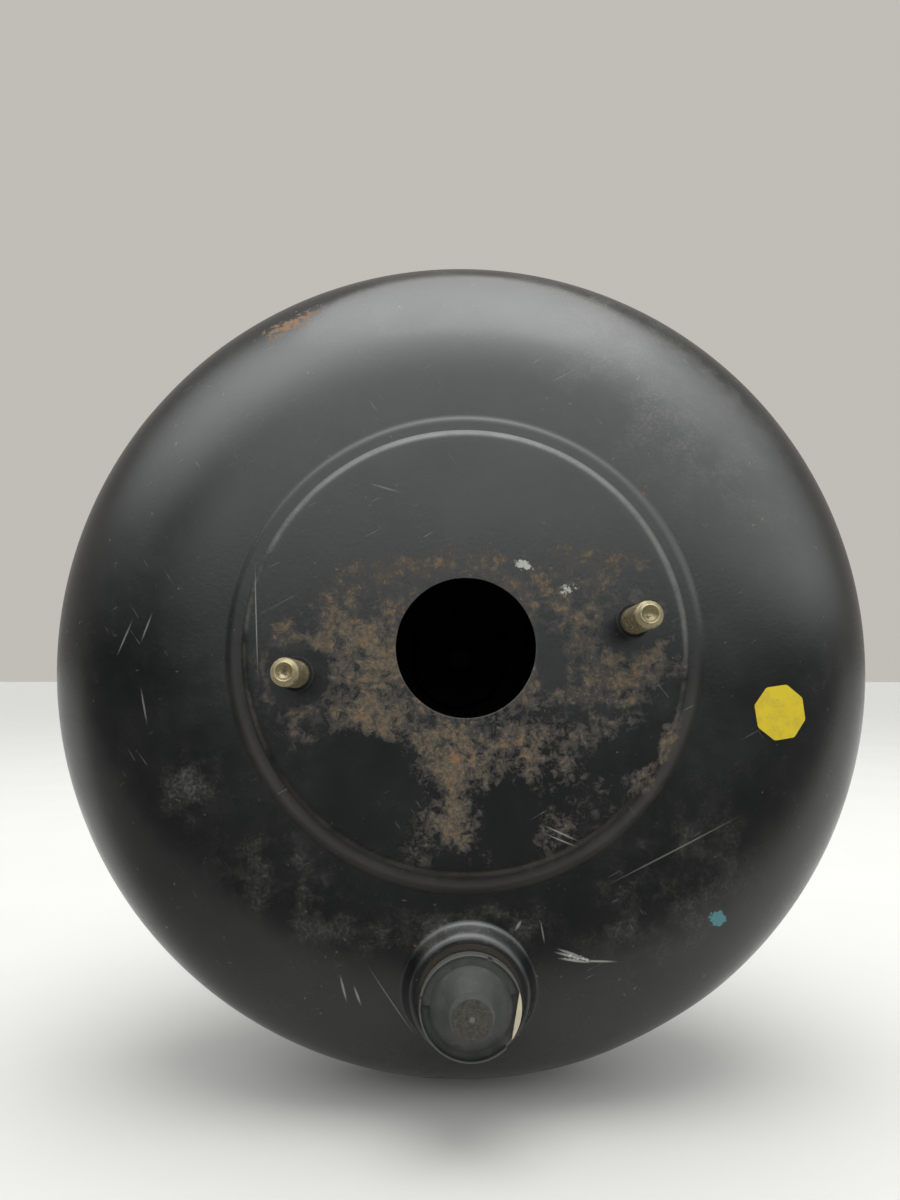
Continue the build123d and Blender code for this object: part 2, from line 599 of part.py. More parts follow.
with BuildPart() as air_filter:
    with BuildSketch(across(54.5)):
        Circle(TUBE_BORE_R)
        Circle(FILTER_BORE_R, mode=Mode.SUBTRACT)
    extrude(amount=8)
air_filter.part.label = "air_filter"

with BuildPart() as filter_retainer:
    with BuildSketch():
        with BuildLine():
            Polyline((TUBE_BORE_R, 54.5), (TUBE_BORE_R, TUBE_END), (TUBE_R, TUBE_END), (TUBE_R, TUBE_END + 1.4),
                     (FILTER_BORE_R + 0.4, TUBE_END + 1.4), (FILTER_BORE_R + 0.4, TUBE_END),
                     (TUBE_BORE_R - 1.4, TUBE_END), (TUBE_BORE_R - 1.4, 54.5), close=True)
        make_face()
    revolve(axis=Axis.Y)
    with BuildSketch(across(TUBE_END + 2)):
        with PolarLocations(13.4, 8):
            Circle(1.8)
    extrude(amount=3, mode=Mode.SUBTRACT)
filter_retainer.part.label = "filter_retainer"

# ---------------------------------------------------------------- pedal rod
with BuildPart() as input_rod:
    with BuildSketch():
        with BuildLine():
            neck = 3.6
            ball_exit = BALL_Y + math.sqrt(BALL_R ** 2 - neck ** 2)
            ThreePointArc((0, BALL_Y - BALL_R), (BALL_R, BALL_Y), (neck, ball_exit))
            Polyline((neck, ball_exit), (neck, 15), (ROD_R, 18), (ROD_R, SPRING_COLLAR),
                     (10.2, SPRING_COLLAR), (10.2, SPRING_COLLAR + 1.4), (ROD_R, SPRING_COLLAR + 1.4),
                     (ROD_R, 102), (ROD_R - 1, 103), (0, 103), (0, BALL_Y - BALL_R))
        make_face()
    revolve(axis=Axis.Y)
input_rod.part.label = "input_rod"

NUT_FLATS, NUT_HEIGHT = 17.0, 7.0
with BuildPart() as lock_nut:
    with BuildSketch(across(FORK_BASE)):
        RegularPolygon(NUT_FLATS / 2, 6, major_radius=False)
        Circle(ROD_R, mode=Mode.SUBTRACT)
    extrude(amount=NUT_HEIGHT)
lock_nut.part.label = "lock_nut"

CHEEK_START = 105.0
with BuildPart() as clevis:
    with BuildSketch(Plane.YZ):
        with BuildLine():
            half = FORK_HEIGHT / 2
            Polyline((EYE_Y, -half), (CHEEK_START - 6, -half), (FORK_BASE + 1, -8), (FORK_BASE, -7),
                     (FORK_BASE, 7), (FORK_BASE + 1, 8), (CHEEK_START - 6, half), (EYE_Y, half))
            ThreePointArc((EYE_Y, half), (EYE_Y + half, 0), (EYE_Y, -half))
        make_face()
    extrude(amount=FORK_WIDTH / 2, both=True)
    with BuildSketch(Plane.XY):
        with Locations((0, CHEEK_START + 20)):
            Rectangle(FORK_GAP, 40)
    extrude(amount=FORK_HEIGHT, both=True, mode=Mode.SUBTRACT)
    with BuildSketch(Plane.YZ):
        with Locations((EYE_Y, 0)):
            Circle(EYE_R)
    extrude(amount=FORK_WIDTH, both=True, mode=Mode.SUBTRACT)
    with BuildSketch(across(FORK_BASE - 1)):
        Circle(ROD_R)
    extrude(amount=-20, mode=Mode.SUBTRACT)
clevis.part.label = "clevis"

# ---------------------------------------------------------------- dust boot
BOOT_SHEET, BOOT_FOLDS, BOOT_PITCH = 1.3, 5, 7.0
BOOT_START, BOOT_FOLD_START = 14.0, 26.0
NECK_OUTER_R = NECK_BORE_R + REAR_SHEET
with BuildPart() as dust_boot:
    with BuildSketch():
        with BuildLine():
            folds = []
            for fold in range(BOOT_FOLDS):
                y = BOOT_FOLD_START + fold * BOOT_PITCH
                folds += [(34.0, y + BOOT_PITCH / 2), (27.5, y + BOOT_PITCH)]
            FilletPolyline((NECK_OUTER_R + FIT, BOOT_START), (NECK_OUTER_R + FIT, BOOT_FOLD_START), *folds,
                           (14, 70), (ROD_R + FIT, 72), (ROD_R + FIT, 80), radius=1.2)
            offset(amount=BOOT_SHEET, side=Side.RIGHT)
        make_face()
        with Locations((NECK_OUTER_R + 1.4, BOOT_START + 1.5)):
            Rectangle(2.6, 3)
    revolve(axis=Axis.Y)
dust_boot.part.label = "dust_boot"

# ---------------------------------------------------------------- export
PIECES = (
    front_shell, front_reinforcement_plate, master_cylinder_studs, rear_shell,
    rear_reinforcement_plate, bulkhead_studs, rear_bearing_ring, rear_seal,
    seal_retainer_ring, vacuum_grommet, check_valve_body, check_valve_disc,
    check_valve_spring, check_valve_cap, valve_body, stop_key, reaction_disc,
    output_rod, output_rod_retainer, diaphragm_plate, diaphragm, return_spring,
    air_valve_plunger, poppet_valve, poppet_retainer, poppet_spring,
    rod_return_spring, silencer, air_filter, filter_retainer, input_rod,
    lock_nut, clevis, dust_boot,
)

os.makedirs("parts", exist_ok=True)
for piece in PIECES:
    export_step(piece.part, f"parts/{piece.part.label}.step")
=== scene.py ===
"""Vacuum brake booster: shapes, finishes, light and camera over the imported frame.

Sizes in the classes are millimetres, about the booster's axis (Y); the master
cylinder's side faces -Y and +Z is up.  Meshes are written in metres.
"""
from collections.abc import Callable, Sequence
from dataclasses import dataclass
from enum import Enum
import logging
import math
from typing import Union

import bmesh
import bpy
from mathutils import Matrix, Vector


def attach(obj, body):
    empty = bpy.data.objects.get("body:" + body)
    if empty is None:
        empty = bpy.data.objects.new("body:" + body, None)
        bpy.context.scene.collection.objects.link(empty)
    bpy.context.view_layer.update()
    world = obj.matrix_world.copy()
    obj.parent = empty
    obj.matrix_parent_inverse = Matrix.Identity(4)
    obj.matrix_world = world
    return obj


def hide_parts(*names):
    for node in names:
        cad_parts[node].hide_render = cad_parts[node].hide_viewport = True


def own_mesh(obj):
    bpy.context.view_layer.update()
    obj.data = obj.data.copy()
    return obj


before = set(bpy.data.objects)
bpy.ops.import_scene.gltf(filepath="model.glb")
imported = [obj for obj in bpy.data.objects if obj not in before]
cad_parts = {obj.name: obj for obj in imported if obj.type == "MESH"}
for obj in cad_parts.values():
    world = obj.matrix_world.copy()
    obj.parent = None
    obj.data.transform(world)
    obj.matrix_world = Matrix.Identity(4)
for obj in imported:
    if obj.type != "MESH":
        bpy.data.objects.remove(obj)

LOG = logging.getLogger("booster")
MM = 0.001
HOUSING = "housing"
FAR = 1e6
Pair = tuple[float, float]
Corner = tuple[float, float, float]
Colour = tuple[float, float, float, float]
Ease = tuple[float, ...]
Socket = bpy.types.NodeSocket
Value = Union[float, Sequence[float], bpy.types.NodeSocket]


class Slot(Enum):
    """The record's material slots that the modelled pieces stand in for."""

    BLACK_PAINT = "black_paint"
    YELLOW_ZINC = "yellow_zinc"
    RUBBER = "rubber"
    GREY_PLASTIC = "grey_plastic"
    CREAM_PLASTIC = "cream_plastic"


def direction(angle: float) -> Vector:
    """Unit vector square to the axis, at an angle in degrees seen from the front."""
    return Vector((math.cos(math.radians(angle)), 0.0, math.sin(math.radians(angle))))


def smooth_step(value: float, low: float, high: float) -> float:
    """Eases from 0 at low to 1 at high."""
    part = min(max((value - low) / (high - low), 0.0), 1.0)
    return part * part * (3.0 - 2.0 * part)


STUD_REACH = 50.0
STUD_TURN = 9.0
STUD_PLACES = tuple((way * STUD_REACH * direction(STUD_TURN).x, way * STUD_REACH * direction(STUD_TURN).z)
                    for way in (1.0, -1.0))
WALL_STUD_PLACES = ((40.0, 35.0), (-40.0, 35.0), (-40.0, -35.0), (40.0, -35.0))
PORT = (0.8, -97.0)


# ---------------------------------------------------------------- shader graphs
class Graph:
    """A node tree that is written as nested calls."""

    def __init__(self, tree: bpy.types.NodeTree) -> None:
        """Wraps an existing node tree."""
        self.tree = tree

    def node(self, kind: str, inputs: dict[object, Value] | None = None,
             **settings: object) -> bpy.types.Node:
        """Adds a node.

        Args:
            kind: Node type without its ShaderNode prefix.
            inputs: Value or socket for each input, by name or index.
            settings: Node properties, set before the inputs.

        Returns:
            The new node.
        """
        made = self.tree.nodes.new("ShaderNode" + kind)
        for name, value in settings.items():
            setattr(made, name, value)
        for key, value in (inputs or {}).items():
            self.feed(made.inputs[key], value)
        return made

    def feed(self, socket: Socket, value: Value) -> None:
        """Links a socket into an input, or sets a plain value on it."""
        if isinstance(value, bpy.types.NodeSocket):
            self.tree.links.new(value, socket)
        else:
            socket.default_value = value

    def math(self, operation: str, a: Value, b: Value = 0.0, c: Value = 0.0, clamp: bool = False) -> Socket:
        """Result of one Math node."""
        return self.node("Math", {0: a, 1: b, 2: c}, operation=operation, use_clamp=clamp).outputs[0]

    def product(self, *values: Value) -> Socket:
        """All values multiplied together."""
        result = values[0]
        for value in values[1:]:
            result = self.math("MULTIPLY", result, value)
        return result

    def highest(self, values: Sequence[Value]) -> Socket:
        """The largest of the values."""
        result = values[0]
        for value in values[1:]:
            result = self.math("MAXIMUM", result, value)
        return result

    def blend(self, factor: Value, a: Value, b: Value) -> Socket:
        """Colour a changed to colour b by factor."""
        made = self.node("Mix", {0: factor, 6: a, 7: b}, data_type="RGBA")
        return made.outputs[2]

    def ease(self, value: Value, low: Value, high: Value, start: Value = 0.0, end: Value = 1.0) -> Socket:
        """Value taken smoothly from start to end as it goes from low to high."""
        return self.node("MapRange", {0: value, 1: low, 2: high, 3: start, 4: end},
                         interpolation_type="SMOOTHSTEP").outputs[0]

    def cloud(self, place: Value, scale: Value, detail: float = 4.0, roughness: float = 0.6,
              distortion: float = 0.0) -> Socket:
        """Fractal noise between 0 and 1."""
        return self.node("TexNoise", {"Vector": place, "Scale": scale, "Detail": detail,
                                      "Roughness": roughness, "Distortion": distortion}).outputs[0]

    def group(self, tree: bpy.types.NodeTree, **inputs: Value) -> bpy.types.Node:
        """Places a node group with its own values."""
        made = self.tree.nodes.new("ShaderNodeGroup")
        made.node_tree = tree
        for key, value in inputs.items():
            self.feed(made.inputs[key], value)
        return made

    def mask(self, tree: bpy.types.NodeTree, **inputs: Value) -> Socket:
        """The first output of a node group placed with its own values."""
        return self.group(tree, **inputs).outputs[0]

    def millimetres(self) -> Socket:
        """Object coordinates in millimetres."""
        place = self.node("TexCoord").outputs["Object"]
        return self.node("VectorMath", {0: place, "Scale": 1.0 / MM}, operation="SCALE").outputs[0]


def effect_group(name: str, inputs: Sequence[tuple[str, str]], outputs: Sequence[str],
                 write: Callable[[Graph, dict[str, Socket]], dict[str, Socket]]) -> bpy.types.NodeTree:
    """Makes a shader node group.

    Args:
        name: Name of the group.
        inputs: Name and kind (Float or Vector) of each input.
        outputs: Names of its number outputs.
        write: Adds the nodes, from the input sockets to the output sockets.

    Returns:
        The finished node tree.
    """
    tree = bpy.data.node_groups.new(name, "ShaderNodeTree")
    for label, kind in inputs:
        tree.interface.new_socket(name=label, in_out="INPUT", socket_type="NodeSocket" + kind)
    for label in outputs:
        tree.interface.new_socket(name=label, in_out="OUTPUT", socket_type="NodeSocketFloat")
    graph = Graph(tree)
    entry = tree.nodes.new("NodeGroupInput")
    leave = tree.nodes.new("NodeGroupOutput")
    results = write(graph, {label: entry.outputs[label] for label, _ in inputs})
    for label, socket in results.items():
        tree.links.new(socket, leave.inputs[label])
    return tree


class Effects:
    """The node groups that several finishes share, each made once."""

    def __init__(self) -> None:
        """Builds every group."""
        self.patch = effect_group(
            "patch", [("Place", "Vector"), ("Centre", "Vector"), ("Half", "Vector"), ("Turn", "Vector"),
                      ("Softness", "Float")], ["Mask"], self._patch)
        self.ring = effect_group(
            "ring", [("Place", "Vector"), ("Centre", "Vector"), ("Radius", "Float"), ("Width", "Float")],
            ["Mask"], self._ring)
        self.blotch = effect_group(
            "blotch", [("Place", "Vector"), ("Cover", "Float"), ("Scale", "Float"), ("Ragged", "Float")],
            ["Mask"], self._blotch)
        self.rust = effect_group(
            "rust", [("Place", "Vector"), ("Cover", "Float")], ["Crust", "Stain", "Tone", "Warm"], self._rust)
        self.dust = effect_group(
            "dust", [("Place", "Vector"), ("Scale", "Float"), ("Amount", "Float")], ["Mask"], self._dust)
        self.scratches = effect_group(
            "scratches", [("Place", "Vector"), ("Turn", "Float"), ("Scale", "Float"), ("Amount", "Float")],
            ["Mask"], self._scratches)
        self.grain = effect_group(
            "grain", [("Place", "Vector"), ("Scale", "Float")], ["Height"], self._grain)

    @staticmethod
    def _patch(graph: Graph, given: dict[str, Socket]) -> dict[str, Socket]:
        """Soft ellipse across the axis, turned about Y."""
        shaped = graph.node("Mapping", {"Vector": given["Place"], "Location": given["Centre"],
                                        "Rotation": given["Turn"], "Scale": given["Half"]},
                            vector_type="TEXTURE")
        far = graph.node("VectorMath", {0: shaped.outputs[0]}, operation="LENGTH").outputs["Value"]
        low = graph.math("SUBTRACT", 1.0, given["Softness"])
        high = graph.math("ADD", 1.0, given["Softness"])
        return {"Mask": graph.ease(far, low, high, 1.0, 0.0)}

    @staticmethod
    def _ring(graph: Graph, given: dict[str, Socket]) -> dict[str, Socket]:
        """Soft ring about a line along Y."""
        apart = graph.node("VectorMath", {0: given["Place"], 1: given["Centre"]}, operation="SUBTRACT")
        flat = graph.node("VectorMath", {0: apart.outputs[0], 1: (1.0, 0.0, 1.0)}, operation="MULTIPLY")
        radius = graph.node("VectorMath", {0: flat.outputs[0]}, operation="LENGTH").outputs["Value"]
        off = graph.math("ABSOLUTE", graph.math("SUBTRACT", radius, given["Radius"]))
        return {"Mask": graph.ease(off, 0.0, given["Width"], 1.0, 0.0)}

    @staticmethod
    def _blotch(graph: Graph, given: dict[str, Socket]) -> dict[str, Socket]:
        """Ragged cover that eats in from the edge of a soft mask."""
        coarse = graph.cloud(given["Place"], given["Scale"], 6.0, 0.66)
        swing = graph.product(graph.math("SUBTRACT", coarse, 0.5), given["Ragged"])
        level = graph.math("ADD", given["Cover"], swing)
        return {"Mask": graph.ease(level, 0.46, 0.62)}

    @staticmethod
    def _rust(graph: Graph, given: dict[str, Socket]) -> dict[str, Socket]:
        """Speckled rust that breaks up towards the edge of its cover, over a thinner stain."""
        broad = graph.math("SUBTRACT", graph.cloud(given["Place"], 0.13, 4.0, 0.6), 0.5)
        fine = graph.math("SUBTRACT", graph.cloud(given["Place"], 0.36, 9.0, 0.78, 0.5), 0.5)
        level = graph.math("ADD", graph.product(broad, 1.4), graph.product(fine, 2.7))
        level = graph.math("ADD", level, graph.math("MULTIPLY_ADD", given["Cover"], 0.62, 0.12))
        there = graph.ease(given["Cover"], 0.03, 0.3)
        tone = graph.ease(graph.cloud(given["Place"], 0.75, 7.0, 0.78), 0.36, 0.66)
        warm = graph.ease(graph.cloud(given["Place"], 0.21, 7.0, 0.74, 0.6), 0.55, 0.64)
        return {"Crust": graph.product(graph.ease(level, 0.45, 0.74), there),
                "Stain": graph.product(graph.ease(level, 0.20, 0.60), there), "Tone": tone, "Warm": warm}

    @staticmethod
    def _dust(graph: Graph, given: dict[str, Socket]) -> dict[str, Socket]:
        """Thin uneven film with fine specks in it."""
        film = graph.ease(graph.cloud(given["Place"], given["Scale"], 6.0, 0.64), 0.38, 0.70)
        specks = graph.cloud(given["Place"], graph.product(given["Scale"], 9.0), 6.0, 0.76)
        specks = graph.ease(specks, 0.44, 0.70)
        mixed = graph.math("ADD", graph.product(film, 0.34), graph.product(film, specks, 1.15))
        return {"Mask": graph.math("MULTIPLY", mixed, given["Amount"], clamp=True)}

    @staticmethod
    def _scratches(graph: Graph, given: dict[str, Socket]) -> dict[str, Socket]:
        """Fine broken lines that run one way."""
        turned = graph.node("VectorRotate", {"Vector": given["Place"], "Axis": (0.0, 1.0, 0.0),
                                             "Angle": given["Turn"]}, rotation_type="AXIS_ANGLE")
        thin = graph.node("VectorMath", {0: turned.outputs[0], 1: (0.03, 0.3, 1.0)}, operation="MULTIPLY")
        lines = graph.cloud(thin.outputs[0], given["Scale"], 2.0, 0.5, 0.3)
        broken = graph.ease(graph.cloud(given["Place"], 0.07, 3.0, 0.6), 0.52, 0.66)
        sharp = graph.ease(lines, 0.715, 0.74)
        return {"Mask": graph.math("MULTIPLY", graph.product(sharp, broken), given["Amount"], clamp=True)}

    @staticmethod
    def _grain(graph: Graph, given: dict[str, Socket]) -> dict[str, Socket]:
        """Surface roughness of paint, rubber or moulded plastic."""
        return {"Height": graph.cloud(given["Place"], given["Scale"], 5.0, 0.65)}


@dataclass(frozen=True)
class Finish:
    """A material and how it is written."""

    name: str

    def material(self, effects: Effects) -> bpy.types.Material:
        """Makes the material.

        Args:
            effects: The shared node groups.

        Returns:
            The finished material.
        """
        made = bpy.data.materials.new(self.name)
        made.use_nodes = True
        made.node_tree.nodes.clear()
        graph = Graph(made.node_tree)
        shader = graph.node("BsdfPrincipled")
        self.write(graph, effects, shader)
        output = graph.node("OutputMaterial")
        graph.feed(output.inputs["Surface"], shader.outputs[0])
        return made

    def write(self, graph: Graph, effects: Effects, shader: bpy.types.Node) -> None:
        """Feeds the shader; each finish writes its own."""
        raise NotImplementedError

    @staticmethod
    def relief(graph: Graph, shader: bpy.types.Node, height: Value, depth: float) -> None:
        """Bumps the surface by a height of 0 to 1, depth millimetres tall."""
        bump = graph.node("Bump", {"Height": height, "Distance": depth * MM, "Strength": 1.0})
        graph.feed(shader.inputs["Normal"], bump.outputs[0])


@dataclass(frozen=True)
class Mark:
    """A soft ellipse on the front, its centre and half sizes in millimetres, its turn in degrees."""

    x: float
    z: float
    length: float
    height: float
    turn: float = 0.0
    softness: float = 0.5
    strength: float = 1.0

    def mask(self, graph: Graph, effects: Effects, place: Socket) -> Socket:
        """Its mask in a material."""
        made = graph.mask(effects.patch, Place=place, Centre=(self.x, 0.0, self.z),
                          Half=(self.length, FAR, self.height),
                          Turn=(0.0, -math.radians(self.turn), 0.0), Softness=self.softness)
        return graph.product(made, self.strength)

    def at(self, x: float, z: float) -> float:
        """Its mask at a point of the front, as a number."""
        reach = max(self.length, self.height) * (1.0 + self.softness)
        if abs(x - self.x) > reach or abs(z - self.z) > reach:
            return 0.0
        out = direction(self.turn)
        along = ((x - self.x) * out.x + (z - self.z) * out.z) / self.length
        over = ((z - self.z) * out.x - (x - self.x) * out.z) / self.height
        far = math.hypot(along, over)
        return self.strength * (1.0 - smooth_step(far, 1.0 - self.softness, 1.0 + self.softness))


@dataclass(frozen=True)
class Ring:
    """A soft ring on the front about (x, z), in millimetres."""

    x: float
    z: float
    radius: float
    width: float
    strength: float = 1.0

    def mask(self, graph: Graph, effects: Effects, place: Socket) -> Socket:
        """Its mask in a material."""
        made = graph.mask(effects.ring, Place=place, Centre=(self.x, 0.0, self.z), Radius=self.radius,
                          Width=self.width)
        return graph.product(made, self.strength)

    def at(self, x: float, z: float) -> float:
        """Its mask at a point of the front, as a number."""
        off = abs(math.hypot(x - self.x, z - self.z) - self.radius)
        return self.strength * (1.0 - smooth_step(off, 0.0, self.width))


RUST_LAYER = "rust_cover"
DUST_LAYER = "dust_cover"
RUST_MARKS = (
    Mark(-3, -3, 56, 31, 8, 0.55, 0.36),
    Mark(0, -42, 40, 20, 0, 0.7, 0.30),
    Mark(-29, 0, 13, 24, 8, 0.6, 0.78),
    Mark(-27, -19, 13, 7, -20, 0.6, 0.92),
    Mark(-30, 14, 15, 5, 28, 0.6, 0.62),
    Mark(-12, 24, 14, 3.5, 12, 0.7, 0.66),
    Mark(9, 27, 5, 2.5, -20, 0.7, 0.62),
    Mark(22, 19, 4.5, 2.2, -55, 0.6, 0.85),
    Mark(27, 10, 4, 9, -10, 0.7, 0.66),
    Mark(36, 12, 8, 6, 0, 0.8, 0.66),
    Mark(40, 27, 13, 3, -8, 0.8, 0.62),
    Mark(40, 19, 8, 2.2, 0, 0.8, 0.56),
    Mark(46, -8, 15, 8, 24, 0.7, 0.72),
    Mark(30, -15, 10, 6, 28, 0.7, 0.64),
    Mark(40, 4, 14, 12, 0, 0.9, 0.5),
    Mark(-5, -31, 16, 13, -6, 0.6, 0.76),
    Mark(-3, -48, 7, 9, 0, 0.7, 0.86),
    Mark(14, -31, 14, 12, 10, 0.8, 0.57),
    Mark(34, -30, 16, 12, 30, 0.8, 0.49),
    Mark(59, -26, 2, 7, -22, 0.6, 0.85),
    Mark(50, -38, 6, 5, 30, 0.8, 0.5),
    Mark(25, -52, 9, 5, 20, 0.8, 0.46),
    Mark(-52, 6, 6, 2.5, 40, 0.7, 0.6),
    Mark(56.5, 10.5, 2.5, 3.5, -30, 0.6, 0.7),
)
RUST_RINGS = (Ring(-49.4, -7.8, 10.5, 2.0, 0.6), Ring(0, 0, 23.5, 5.0, 0.46))
CLEAN_MARKS = (
    Mark(-33, -42, 19, 14, 25, 0.45, 0.9),
    Mark(-48, -9, 7, 7, 0, 0.4),
    Mark(47, 5, 8, 6, 20, 0.5, 0.75),
    Mark(13, -49, 7, 9, 0, 0.7, 0.7),
    Mark(43, -31, 10, 5, 25, 0.7, 0.65),
    Mark(24, 0, 4, 12, 0, 0.8, 0.5),
    Mark(-27, 13.5, 4, 6, 0, 0.5, 0.6),
)
DUST_MARKS = (
    Mark(0, -79, 26, 5, 4, 0.7, 0.9),
    Mark(-48, -72, 20, 8, -30, 0.8, 0.7),
    Mark(-79, -39, 7, 10, -20, 0.6, 0.8),
    Mark(58, -70, 22, 15, 30, 0.8, 0.6),
    Mark(60, 84, 46, 22, -52, 0.8, 0.7),
    Mark(-52, -66, 9, 12, 30, 0.7, 0.8),
)
PALE_LINES = (
    Mark(30.3, -87.6, 4.2, 0.40, -14, 0.5, 0.9),
    Mark(30.9, -88.8, 3.8, 0.34, -9, 0.5, 0.85),
    Mark(29.4, -86.6, 3.0, 0.30, -19, 0.5, 0.8),
    Mark(37.6, -89.2, 4.2, 0.28, -3, 0.5, 0.8),
    Mark(14.7, -78.7, 1.4, 0.40, 58, 0.5, 0.6),
    Mark(21.6, -80.6, 0.2, 2.6, 10, 0.5, 0.5),
    Mark(-61.2, 8, 0.16, 12.5, 3, 0.6, 0.6),
    Mark(-35, -97, 0.3, 3.2, 12, 0.6, 0.6),
    Mark(-31, -99, 0.3, 2.4, 18, 0.6, 0.6),
    Mark(-101, 3, 0.25, 4.2, -24, 0.6, 0.45),
    Mark(-94, 6, 0.25, 3.4, -20, 0.6, 0.45),
    Mark(-94, -17, 0.25, 4.0, 12, 0.6, 0.45),
    Mark(27, -53, 4.2, 0.2, -24, 0.6, 0.6),
    Mark(27, -55, 3.6, 0.18, -22, 0.6, 0.6),
    Mark(-24, 47.5, 3.6, 0.25, -16, 0.6, 0.3),
    Mark(-21, -101, 0.18, 9.5, 32, 0.6, 0.32),
    Mark(60, -58, 0.2, 16.0, -64, 0.6, 0.35),
)
CHIPPED_MARKS = (Mark(17, 24.3, 3.4, 1.7, -12, 0.7, 0.62), Mark(30, 17, 3.0, 1.8, 12, 0.7, 0.52),
                 Mark(31.5, -88.0, 5.0, 1.1, -12, 0.7, 0.5))


@dataclass(frozen=True)
class WornBlackPaint(Finish):
    """Black stoving paint of the pressed front: chips, rust on the seat, grey dust and scratches, with
    painted shade in the crevices round the studs and grommet and a painted highlight along the top of the
    seat's edge.
    """

    paint: Colour = (0.0045, 0.0049, 0.0052, 1.0)
    faded: Colour = (0.0068, 0.0071, 0.0073, 1.0)
    dust: Colour = (0.130, 0.125, 0.112, 1.0)
    stain: Colour = (0.046, 0.037, 0.026, 1.0)
    rust_dark: Colour = (0.036, 0.027, 0.017, 1.0)
    rust_light: Colour = (0.150, 0.108, 0.060, 1.0)
    rust_orange: Colour = (0.225, 0.105, 0.030, 1.0)
    # Near-black colour; in this paint it serves only as painted shade in the crevices round the studs and the
    # grommet.
    dirt_and_crevice_shade: Colour = (0.0022, 0.0021, 0.0018, 1.0)
    scratch: Colour = (0.45, 0.44, 0.41, 1.0)
    paint_spot: Colour = (0.045, 0.165, 0.185, 1.0)

    def write(self, graph: Graph, effects: Effects, shader: bpy.types.Node) -> None:
        """Feeds the shader."""
        place = graph.millimetres()
        worn = graph.cloud(place, 0.035, 6.0, 0.62)
        colour = graph.blend(graph.ease(worn, 0.42, 0.68), self.paint, self.faded)
        roughness = graph.ease(worn, 0.3, 0.75, 0.20, 0.31)

        settled = graph.node("Attribute", attribute_name=DUST_LAYER).outputs["Fac"]
        wide = graph.math("ADD", settled, 0.07)
        film = graph.mask(effects.dust, Place=place, Scale=0.11, Amount=wide)
        colour = graph.blend(graph.product(film, 0.55), colour, self.dust)
        roughness = graph.math("ADD", roughness, graph.product(film, 0.25))

        cover = graph.node("Attribute", attribute_name=RUST_LAYER).outputs["Fac"]
        rust = graph.group(effects.rust, Place=place, Cover=cover)
        crust, film_rust, tone, warm = (rust.outputs[label] for label in ("Crust", "Stain", "Tone", "Warm"))
        shade = graph.blend(tone, self.rust_dark, self.rust_light)
        shade = graph.blend(graph.product(warm, 0.8), shade, self.rust_orange)
        colour = graph.blend(graph.product(film_rust, 0.55), colour, self.stain)
        colour = graph.blend(graph.product(crust, 0.88), colour, shade)
        roughness = graph.math("ADD", roughness, graph.product(graph.math("MAXIMUM", crust, film_rust), 0.42))

        rim_rust = graph.highest([
            Mark(-56, 104, 12, 4.5, 28, 0.8, 0.58).mask(graph, effects, place),
            Mark(62, 66, 3.2, 2.6, 0, 0.8, 0.5).mask(graph, effects, place),
            Mark(54, 47, 3.0, 2.0, 0, 0.8, 0.52).mask(graph, effects, place)])
        rim = graph.mask(effects.blotch, Place=place, Cover=rim_rust, Scale=0.45, Ragged=2.2)
        colour = graph.blend(graph.product(rim, rim_rust, 1.2), colour, self.rust_orange)
        roughness = graph.math("ADD", roughness, graph.product(rim, 0.4))

        chips = graph.ease(graph.cloud(place, 0.42, 3.0, 0.55), 0.715, 0.735)
        specks = graph.ease(graph.cloud(place, 0.9, 3.0, 0.6), 0.715, 0.755)
        colour = graph.blend(graph.product(chips, 0.5), colour, self.rust_light)
        colour = graph.blend(graph.product(specks, 0.4), colour, self.dust)

        # Worn line round the seat's edge: real wear, drawn in the lighter dust colour at the top and in brown
        # stain lower down, so its top is a painted highlight.
        edge = Ring(0, 0, 64.4, 1.3).mask(graph, effects, place)
        frayed = graph.ease(graph.cloud(place, 0.10, 5.0, 0.65), 0.36, 0.60)
        height = graph.node("SeparateXYZ", {0: place}).outputs[2]
        low = graph.ease(height, 10.0, -40.0)
        edge_wear_and_painted_highlight = graph.blend(low, self.dust, self.stain)
        colour = graph.blend(graph.product(edge, frayed, 0.5), colour, edge_wear_and_painted_highlight)
        # The seat's outer trough is darkened and made rougher, more strongly towards the bottom.
        trough = Ring(0, 0, 67.8, 3.4).mask(graph, effects, place)
        trough_darkening = graph.product(trough, graph.math("MULTIPLY_ADD", low, 0.85, 0.1))
        colour = graph.blend(graph.product(trough_darkening, 0.28), colour, self.stain)
        roughness = graph.math("ADD", roughness, graph.product(trough_darkening, 0.3))
        # Painted shade: near-black rings where the studs and the grommet meet the shell, standing in for the
        # shade in those crevices.
        gap = graph.highest([Ring(x, z, 4.45, 0.9).mask(graph, effects, place) for x, z in STUD_PLACES]
                            + [Ring(*PORT, 14.7, 0.45).mask(graph, effects, place)])
        colour = graph.blend(gap, colour, self.dirt_and_crevice_shade)
        roughness = graph.math("ADD", roughness, gap)
        lip = graph.product(Ring(0, 0, 20.6, 0.45).mask(graph, effects, place), low, 0.7)
        colour = graph.blend(lip, colour, self.dust)

